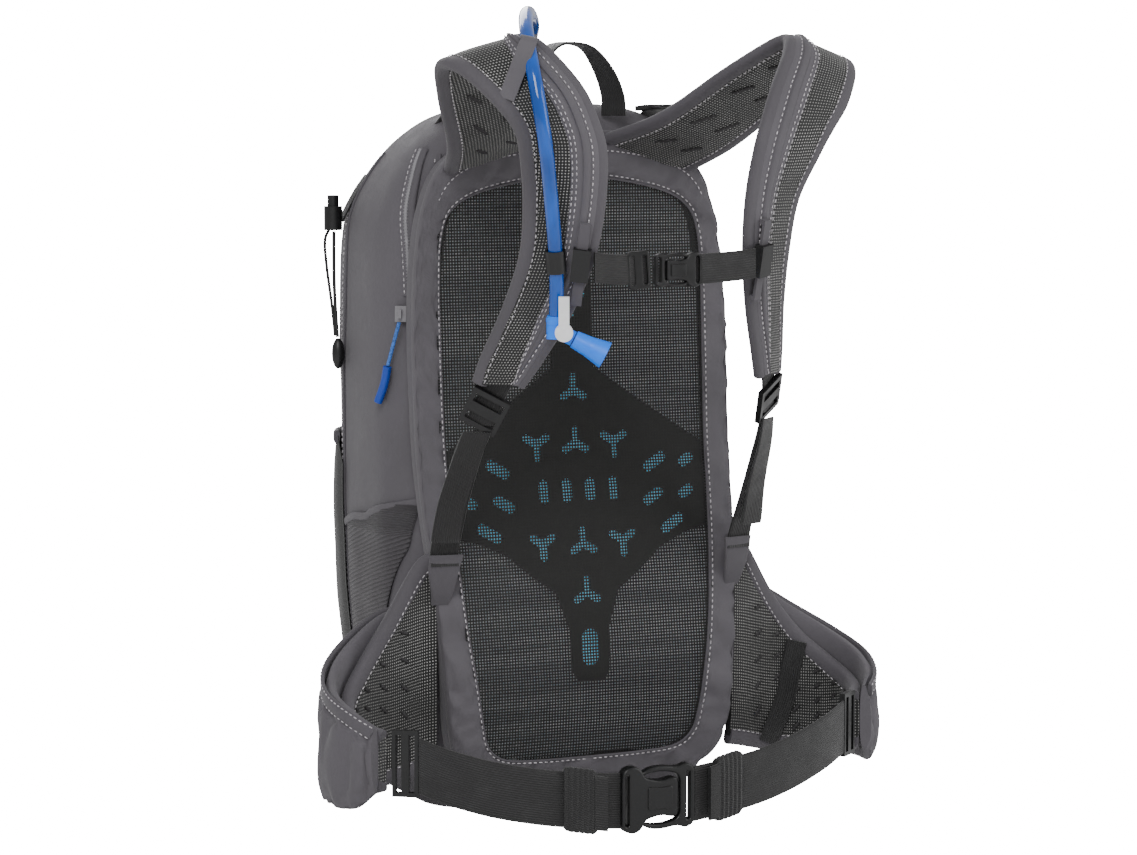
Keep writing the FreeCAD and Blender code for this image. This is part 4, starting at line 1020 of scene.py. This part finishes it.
def make_bag_details():
    """Zips, piping seams, gear tab and the elastic that carries the cord lock."""
    for word, side in SIDES:
        if side < 0:
            keys = side_keys((-66, 250), (-64, 300), (-61, 352), (-58, 400), (-54, 440), (-50, 466))
            path, out = on_bag(keys, side, 0.8)
            zip_track("reservoir_zip", path[18:], out[18:], "grey_smooth", "slider_grey", 4.4)
            flap = on_bag([(turn - 4.6, z) for turn, z in keys[2:]], side, 1.4)
            band("reservoir_zip_flap", *flap, 2.6, 1.5, 2.4, 12, "grey_binding")
            stitch(on_bag([(turn - 6.6, z) for turn, z in keys[1:]], side, 0.9)[0])
        keys = side_keys((-80, 60), (-82, 150), (-78, 240), (-70, 340), (-66, 420), (-60, 462))
        path, out = on_bag(keys, side, 0.8)
        band("side_piping_" + word, path, out, 1.5, 1.5, 2.0, 10, "grey_binding")
        stitch(on_bag([(turn + 4, z) for turn, z in keys], side, 0.9)[0])
        keys = side_keys((20, 60), (22, 200), (20, 300), (14, 400), (4, 462))
        path, out = on_bag(keys, side, 0.6)
        band("side_seam_" + word, path, out, 1.1, 1.0, 2.0, 8, "grey_binding")
        stitch(on_bag([(turn + 3, z) for turn, z in keys], side, 0.8)[0])
    arch = side_keys((70, 290), (66.5, 360)) + [(45, 410), (46, 445), (52, 470), (66, 484), (90, 487)]
    right, right_out = on_bag(arch, 1, 0.8)
    left, left_out = on_bag(arch, -1, 0.8)
    zip_track("main_zip", np.vstack([right, left[-2::-1]]), np.vstack([right_out, left_out[-2::-1]]),
              "dark_webbing", "black_plastic", 6.0)
    turn = turn_at(428, 20)
    tab = [bag_point(446, turn, 0.2, -1), bag_point(436, turn, 1.0, -1), bag_point(424, turn, 1.6, -1),
           (-134.4, 20, 413)]
    strap("cord_lock_tab", tab, (0, 1, 0), 9, 1.4)
    elastic = [(-143, 20, 408), (-146, 21, 399), (-145, 20, 380), (-142, 18, 352), (-141, 15, 332)]
    band("lock_cord_return", through(elastic, 8), (-1, 0, 0), 1.2, 1.2, 2.0, 8, "black_cord",
         "black_cord")


def strap(name, keys, across, width, thick, *nodes, look="black_webbing", slot="black_webbing",
          body="pack"):
    """Flat webbing through key points, with a width direction at each."""
    across = np.broadcast_to(np.asarray(across, float), (len(keys), 3))
    rows = through(np.hstack([keys, across]), 6)
    return piece(skin(name, ribbon_rows(rows[:, :3], rows[:, 3:], width, thick), look), slot,
                 *nodes, body=body)


make_bag()
make_front_pocket()
make_side_pockets()
make_bag_details()

# ------------------------------------------------------------------ shoulder straps
PAD = [((26, -80, 473), (95, -80, 451)), ((46, -128, 489), (110, -120, 470)),
       ((72, -176, 520), (134, -160, 503)), ((93, -212, 541), (149, -194, 523)),
       ((88, -232, 534), (145, -222, 520)), ((70, -247, 508), (129, -242, 500)),
       ((60, -251, 484), (117, -245, 484)), ((55, -251, 466), (110, -239, 467)),
       ((53, -245, 436), (101, -224, 435)), ((56, -236, 400), (99, -214, 400)),
       ((66, -222, 363), (104, -197, 363)), ((80, -205, 330), (112, -180, 330)),
       ((88, -194.5, 313), (115, -172.5, 313))]
PAD_THICK = 9.0
PAD_CROWN = 2.7
PAD_SPANS = 8


class Pad:
    """A padded strap, with points anywhere across and along it.

    Across runs from -1 at the neck edge to 1 at the outer edge; up is 1 on the face that lies
    away from the wearer and -1 on the face that lies on the wearer."""

    def __init__(self, stations, thick, side):
        rows = through([a + b for a, b in stations], PAD_SPANS)
        neck, outer = mirrored(rows[:, :3], side), mirrored(rows[:, 3:], side)
        self.centre = (neck + outer) / 2
        self.half = np.linalg.norm(outer - neck, axis=1) / 2
        self.across = unit(outer - neck)
        run = unit(np.gradient(self.centre, axis=0))
        self.out = unit(np.cross(run, self.across)) * side
        self.thick = thick
        self.side = side

    def rise(self, across):
        share = np.minimum(np.abs(across), 1.0) ** PAD_CROWN
        return self.thick / 2 * (1 - share) ** (1 / PAD_CROWN)

    def at(self, row, across, up=1, lift=0.0):
        return (self.centre[row] + self.across[row] * across * self.half[row]
                + self.out[row] * up * (self.rise(across) + lift))

    def line(self, across, first=0, up=1, lift=0.0):
        """Path along the strap at one place across it, or at a place given for each row."""
        places = np.broadcast_to(across, (len(self.centre),))
        return np.array([self.at(row, places[row], up, lift)
                         for row in range(first, len(self.centre))])

    def strip(self, name, look, start, end, first, lift, swell):
        """Cloth band on the outer face, from start to end across the strap."""
        starts, ends = [np.broadcast_to(value, (len(self.centre),)) for value in (start, end)]
        shares = np.linspace(0, 1, 9)
        bulge = lift + swell * np.sqrt(1 - (2 * shares - 1) ** 2)
        bulge[[0, -1]] = 0.1
        rings = []
        for row in range(first, len(self.centre)):
            a, b = starts[row], ends[row]
            top = [self.at(row, a + (b - a) * s, lift=h) for s, h in zip(shares, bulge)]
            under = [self.at(row, a + (b - a) * s, lift=-0.8) for s in shares[::-1]]
            rings.append(top + under)
        return skin(name, rings, look)


def pad_body(pad, word):
    """Crowned foam strap: air mesh on both faces, softly quilted."""
    a, b = section(40, PAD_CROWN)
    rings = []
    for row in range(len(pad.centre)):
        ring = []
        for across, deep in zip(a, b):
            place = pad.centre[row] + pad.across[row] * across * pad.half[row]
            puff = 0.7 * noise.noise(Vector(place) * 0.035) if abs(across) < 0.8 else 0.0
            ring.append(place + pad.out[row] * deep * (pad.thick / 2 + puff))
        rings.append(ring)
    return piece(skin("strap_pad_" + word, rings, "black_mesh"), "black_mesh",
                 "shoulder_pad_" + word, fill=0.75)


def pad_binding(pad, word, edge, name):
    """Tape folded round one edge of the strap, stitched along both faces."""
    inset = 4.4
    share = edge * (1 - inset / pad.half)
    path = pad.centre + pad.across * (share * pad.half)[:, None]
    band("binding_%s_%s" % (name, word), path, pad.out, 5.6, 4.1, 2.5, 16, "grey_binding")
    seam = edge * (1 - (inset + 3.9) / pad.half)
    for up in (1, -1):
        stitch(pad.line(seam, up=up, lift=0.75))


def strap_cloth(pad, word):
    """Grey cloth over the neck half of the outer face, with its raised zip fold and seams."""
    start = 3 * PAD_SPANS - 2
    share = (np.arange(len(pad.centre)) - start) / (len(pad.centre) - 1 - start)
    fade = np.clip(share * 7, 0, 1) * np.clip((1 - share) * 5, 0, 1)
    edge = -0.62 + 0.50 * fade
    piece(pad.strip("strap_cloth_" + word, "grey_smooth", -0.86, edge, start, lift=1.0, swell=0.5),
          "grey_fabric")
    piece(pad.strip("strap_fold_" + word, "grey_fabric", -0.62, edge - 0.28 * fade, start + 3,
                    lift=1.6, swell=1.5), "grey_fabric")
    for place in (-0.66 + 0 * fade, edge - 0.04, edge - 0.14 * fade):
        stitch(pad.line(place, start + 3, lift=1.75))


def press_marks(name, marks, half_wide, half_thick):
    """Short quilting marks pressed into air mesh; each mark is its start, end and outward normal."""
    for number, (start, end, out) in enumerate(marks, 1):
        path = start + (end - start) * np.array([[0], [0.25], [0.5], [0.75], [1]])
        band("%s_%02d" % (name, number), path, out, half_wide, half_thick, 2.2, 8, "dark_thread",
             "black_mesh")


def strap_dashes(pad, word):
    marks = [(pad.at(row, shift - 0.10, -1, 0.5), pad.at(row + 2, shift + 0.14, -1, 0.5), pad.out[row])
             for row in range(4, 3 * PAD_SPANS + 4, 5) for shift in (-0.34, 0.30)]
    press_marks("dash_" + word, marks, [0.5, 1.3, 1.5, 1.3, 0.5], 0.7)


def make_straps():
    for word, side in SIDES:
        pad = Pad(PAD, PAD_THICK, side)
        pad_body(pad, word)
        pad_binding(pad, word, -1, "neck")
        pad_binding(pad, word, 1, "outer")
        strap_cloth(pad, word)
        strap_dashes(pad, word)


make_straps()

LOCK_ACROSS = (0.78, 0.63, 0.02)
# each strap at the ladder lock: its points, and its width direction at each
LOCK_STRAPS = {
    "lower_strap": ([(110.0, -164.5, 277), (112, -155, 262), (114, -135, 226), (114, -119, 192),
                     (113.5, -119.2, 182)],
                    [LOCK_ACROSS, (0.82, 0.57, 0), (0.9, 0.42, 0), (0.97, 0.2, 0), (0.98, 0.17, 0)],
                    20, 1.6, "strap_webbing"),
    "lock_strap": ([(97, -189, 328), (101, -184.5, 316), (106, -176, 299), (109.5, -168, 284)],
                   [(0.8, 0.6, 0), (0.8, 0.61, 0), LOCK_ACROSS, LOCK_ACROSS], 20, 1.5, None),
    "strap_tail": ([(110.5, -167.5, 279), (113.5, -158.5, 262), (116.5, -140, 230), (118, -131, 205),
                    (117.5, -130, 200)],
                   [LOCK_ACROSS, (0.82, 0.57, 0), (0.9, 0.42, 0), (0.95, 0.3, 0), (0.95, 0.3, 0)],
                   19.4, 1.5, None),
}
ANCHOR = [((101, -121.8, 190), (124, -117.5, 190)), ((103, -118.5, 178), (124, -114.5, 178)),
          ((105, -113.5, 164), (121, -111.5, 164)), ((107, -109.0, 154), (119, -107.5, 154))]


def make_lower_straps():
    for word, side in SIDES:
        for name, (keys, across, width, thick, node) in LOCK_STRAPS.items():
            strap("%s_%s" % (name, word), mirrored(keys, side), mirrored(across, side), width, thick,
                  *([node + "_" + word] if node else []))
        rows = through([a + b for a, b in ANCHOR], 5)
        left, right = mirrored(rows[:, :3], side), mirrored(rows[:, 3:], side)
        rings = []
        for p, q in zip(left, right):
            a, b = section(20, 4)
            rings.append([(p + q) / 2 + (q - p) / 2 * s + np.array((0, 1.6 * t, 0))
                          for s, t in zip(a, b)])
        piece(skin("anchor_cloth_" + word, rings, "grey_binding"), "grey_fabric",
              "anchor_tab_" + word)


make_lower_straps()

LIFTER = [(76, -68, 494), (79, -86, 495), (85, -118, 500), (92, -140, 503)]
LOOP = [(-30, -70, 488), (-29, -70, 505), (-22, -70, 524), (-10, -70, 536.5), (4, -70, 539),
        (18, -70, 535), (30, -70, 520), (37, -70, 503), (38, -70, 488)]
LOOP_TWIST = [62, 56, 66, 84, 90, 84, 66, 56, 50]


def make_top_straps():
    pad = Pad(PAD, PAD_THICK, -1)
    tape = [pad.at(40, 0.80, lift=0.6), pad.at(37, 0.35, lift=3.5),
            np.array(TUBE[5]) / MM + pad.out[33] * 6.4, pad.at(30, -0.72, lift=3.0),
            pad.at(27, -0.96, lift=1.2)]
    across = np.cross(unit(np.gradient(np.array(tape), axis=0)), pad.out[33])
    strap("tube_tape", tape, across, 11, 1.2, look="grey_smooth", slot="grey_fabric")
    for word, side in SIDES:
        strap("lifter_tail_" + word, mirrored([(76, -61, 492.5), (77, -50, 490), (78, -38, 483),
                                               (79, -24, 476)], side), (1, 0, 0), 15, 1.5)
        strap("load_lifter_" + word, mirrored(LIFTER, side), (1, 0.12 * side, 0), 15, 1.5,
              "load_lifter_web_" + word)
    across = [(math.cos(math.radians(a)), -math.sin(math.radians(a)), 0) for a in LOOP_TWIST]
    strap("haul_loop_strap", LOOP, across, 19, 2.0, "haul_loop",
          body="loop")


make_top_straps()
COLLAR = [(-80.3, -228.0, 354.8), (-80.2, -228.2, 356.6), (-80.2, -228.3, 358.4),
          (-80.2, -228.5, 360.4)]
band("valve_collar", COLLAR, (0, -1, 0), [6.0, 6.6, 6.6, 5.6], 6.2, 2.0, 20, "blue_valve",
     "blue_valve")

# ------------------------------------------------------------------ sternum strap
STERNUM_LEFT = [(-59.6, -243.6, 392.5), (-48, -242.0, 391), (-32, -241.5, 390), (-18.0, -240.5, 389)]
STERNUM_RIGHT = [(16.0, -240.5, 389), (32, -241.5, 390), (48, -242.0, 391), (59.6, -243.6, 392.5)]


def make_sternum():
    strap("sternum_strap_left", STERNUM_LEFT, (0, 0, 1), 20, 1.5, "sternum_webbing_left",
          body=("sternum_strap", "sternum_prong_half", (-0.050, -0.242, 0.391),
                (-0.022, -0.241, 0.389)))
    strap("sternum_strap_right", STERNUM_RIGHT, (0, 0, 1), 20, 1.5, "sternum_webbing_right",
          body="sternum_strap")


def make_adjuster():
    """Two-slot slider on the wearer's left half of the sternum strap."""
    outline = rounded(both_ways([(-8, -12.6, 3), (8, -12.6, 3)]))
    slots = [slot_hole(x, 9.8, 3.0) for x in (-4.4, 4.4)]
    piece(moulding("sternum_adjuster", outline, slots, 3.4, (-26.5, -241.4, 389.7),
                   (-1, 0.06, -0.07), (0, 0, 1), edge=0.9),
          "black_plastic", body="sternum_prong_half")


make_sternum()
side_release("sternum_buckle", -0.60, 0.51, 6.6, (-1.4, -240.5, 389.2),
             ("sternum_strap", "sternum_prong_half"), ("sternum_buckle_female", "sternum_buckle_male"))
make_adjuster()

# ------------------------------------------------------------------ hip belt
# plan position, outward normal angle in plan, bottom height and top height
WING = [(114, -103.0, 100, 38, 190), (124.5, -101.0, 100, 36, 182), (146, -99, 88, 31, 146),
        (167, -103, 64, 29, 118), (184, -117, 36, 29, 100), (191, -138, 8, 33, 89),
        (187, -158, -18, 38, 84), (180, -168, -32, 42, 81)]
# how far the pocket stands out, and its bottom and top height, at the same places
POCKET_OUT = [(4, 46, 150), (4, 46, 150), (7, 38, 148), (9, 31, 132), (10, 28, 116), (9, 27, 104),
              (7, 29, 94), (4, 40, 86)]
WING_THICK = 9.0


class Wing:
    """A hip wing, with points at any place along it and up it."""

    def __init__(self, side):
        rows = through([wing + pocket for wing, pocket in zip(WING, POCKET_OUT)], 8)
        self.side = side
        self.place = np.column_stack([rows[:, 0] * side, rows[:, 1]])
        angle = np.radians(rows[:, 2])
        self.out = np.column_stack([side * np.cos(angle), np.sin(angle), 0 * angle])
        self.low, self.high = rows[:, 3], rows[:, 4]
        self.bulge, self.pocket_low, self.pocket_high = rows[:, 5], rows[:, 6], rows[:, 7]

    def at(self, row, up, off):
        """up runs from -1 at the bottom edge to 1 at the top; off is along the outward normal."""
        z = (self.low[row] + self.high[row]) / 2 + up * (self.high[row] - self.low[row]) / 2
        return self.over(row, z, off)

    def over(self, row, z, off):
        return np.array((*self.place[row], z)) + self.out[row] * off


def wing_pad(wing, word):
    a, b = section(44, 3.0)
    rings = []
    for row in range(len(wing.low)):
        ring = []
        for up, deep in zip(a, b):
            p = wing.at(row, up, 0)
            puff = 0.9 * noise.noise(Vector(p) * 0.03) if abs(up) < 0.85 else 0.0
            ring.append(wing.at(row, up, deep * (WING_THICK / 2 + puff)))
        rings.append(ring)

    def face(i, j):
        return 0 if b[j] < 0.2 else 1

    piece(skin("wing_pad_" + word, rings, "black_mesh", "grey_fabric", paint=face), "black_mesh",
          "hip_wing_" + word, fill=0.75)
    for edge, name in ((1, "top"), (-1, "bottom")):
        inset = 10.0 / (wing.high - wing.low)
        path = np.array([wing.at(r, edge * (1 - inset[r]), 0) for r in range(len(wing.low))])
        band("wing_binding_%s_%s" % (name, word), path, wing.out, 6.4, 4.6, 2.6, 16, "grey_binding")
        stitch([wing.at(r, edge * (1 - inset[r] * 2.0), -WING_THICK / 2 - 0.25)
                for r in range(len(wing.low))])


def wing_dashes(wing, word):
    face = -WING_THICK / 2 - 0.4
    marks = [(wing.at(row, up - 0.05, face), wing.at(row + 2, up + 0.12, face), wing.out[row])
             for row in range(12, len(wing.low) - 12, 6) for up in np.arange(-0.62, 0.66, 0.30)]
    press_marks("wing_dash_" + word, marks, [0.4, 1.1, 1.3, 1.1, 0.4], 0.6)


def hip_pocket(wing, word):
    """Gathered pocket with a broad hem, sewn to the outside of the wing."""
    a, b = section(56, 2.8)
    rings, rim, rim_out = [], [], []
    for row in range(8, len(wing.low)):
        low, high = wing.pocket_low[row], wing.pocket_high[row]
        rim.append(wing.over(row, high - 4.0, 9.0 + 0.8 * wing.bulge[row]))
        rim_out.append(wing.out[row])
        middle, half = (low + high) / 2, (high - low) / 2
        ring = []
        for up, deep in zip(a, b):
            z = middle + half * up
            near, far = 5.2, 7.6 + wing.bulge[row]
            off = (near + far) / 2 + (far - near) / 2 * deep
            if deep > 0.3:
                gather = math.sin(row * 1.05 + 0.5 * math.sin(z * 0.06)) * (0.35 + 0.65 * (up < 0.6))
                off += 1.5 * gather * min(1, (1 - abs(up)) * 3)
                off += 2.4 * noise.noise(Vector((row * 0.16, z * 0.03, 2.0 * wing.side)))
            ring.append(wing.over(row, z, off))
        rings.append(ring)
    pocket = skin("pocket_" + word, rings, "grey_fabric")
    held = [i * len(a) + j for i in range(len(rings)) for j in range(len(a))
            if b[j] < 0.35 or a[j] > 0.72 or a[j] < -0.94 or not 2 <= i < len(rings) - 2]
    filled(pocket, held, 0.07, 3.0, 0.005)
    piece(pocket, "grey_fabric", "hip_pocket_" + word)
    _, out, aside = path_frames(rim, rim_out)
    band("pocket_rim_" + word, rim, out, 5.5, 1.6, 3.0, 12, "grey_binding")
    for edge in (-4.2, 4.2):
        stitch(np.array(rim) + aside * edge + out * 1.3)


def wing_strap(wing, word):
    """Flat black strap laid down the wearer's face of the wing, and the grey tab of the pocket zip."""
    rows = through([(25, 0.86), (23, 0.25), (20, -0.45), (16, -0.92)], 8)
    path = np.array([wing.at(int(round(r)), up, -WING_THICK / 2 - 1.5) for r, up in rows])
    path = through(path[::4], 5)
    out = [wing.out[int(round(r))] * -1 for r in np.linspace(25, 16, len(path))]
    band("wing_strap_" + word, path, out, 7.5, 0.9, 4.0, 14, "black_webbing", "black_webbing")
    row = len(wing.low) - 10
    tab = [wing.at(row, up, 15.5 + lean)
           for up, lean in ((0.42, 0), (0.2, 1.2), (-0.05, 2.0), (-0.3, 2.2))]
    band("pocket_zip_tab_" + word, through(tab, 5), wing.out[row], 2.4, 1.0, 3.0, 12, "slider_grey")


def make_belt():
    for word, side in SIDES:
        wing = Wing(side)
        wing_pad(wing, word)
        wing_dashes(wing, word)
        hip_pocket(wing, word)
        if side > 0:
            wing_strap(wing, word)


make_belt()

LEFT_BELT = [(-161.6, -187.0, 60), (-146, -198, 53), (-120, -211, 45), (-90, -221, 39), (-60, -227, 35),
             (-33.8, -230, 33)]
RIGHT_BELT = [(21.8, -230, 33), (50, -228, 36), (80, -222.5, 40), (110, -213.5, 46), (140, -201, 54),
              (161.6, -187.0, 60)]
BELT_WIDE, BELT_THICK = 38.0, 1.8


def make_belt_webbing():
    strap("belt_strap_left", LEFT_BELT, (0, 0, 1), BELT_WIDE, BELT_THICK, "belt_webbing_left")
    strap("belt_strap_right", RIGHT_BELT, (0, 0, 1), BELT_WIDE, BELT_THICK, "belt_webbing_right",
          body=("pack", "waist_prong_half", (0.150, -0.196, 0.057), (0.060, -0.227, 0.037)))


KEEPER_HALF = 11.5


def make_keepers():
    """Ribbed elastic sleeves with the folded webbing end beside them."""
    for word, x, y, z, body in (("left", -62, -227, 35.3, "pack"),
                                ("right", 48.5, -228, 35.8, "waist_prong_half")):
        along = unit((1, 0.22 * np.sign(x), 0.16 * np.sign(x)))
        normal = unit(np.cross(along, (0, 0, 1)))
        a, b = section(40, 5.0)
        rings = []
        for step in np.linspace(-KEEPER_HALF, KEEPER_HALF, 116):
            rib = 0.35 * math.sin(step * 2 * math.pi / 3.8)
            close = 1 - 0.10 * (abs(step) / KEEPER_HALF) ** 8
            centre = np.array((x, y, z)) + along * step
            rings.append([centre + np.array((0, 0, 1)) * (22.0 + rib * 0.4) * close * p
                          + normal * (3.9 + rib) * close * q for p, q in zip(a, b)])
        piece(skin("keeper_" + word, rings, "black_webbing"), "black_webbing", "web_keeper_" + word,
              body=body)
        tail = np.array((x, y, z)) - along * np.sign(x) * np.array([[10], [15], [18.5]])
        tail = tail + normal * np.array([[2.6], [3.0], [2.9]])
        piece(skin("belt_tail_" + word, ribbon_rows(through(tail, 5), (0, 0, 1), 37.0, 3.4),
                   "black_webbing"), "black_webbing", body=body)


make_belt_webbing()
make_keepers()
side_release("waist_buckle", 1.0, 1.0, 9.0, (0, -230, 33.2), ("pack", "waist_prong_half"),
             ("waist_buckle_female", "waist_buckle_male"))


# ------------------------------------------------------------------ thread
piece(thread_mesh("stitching_thread", "thread"), "grey_fabric")
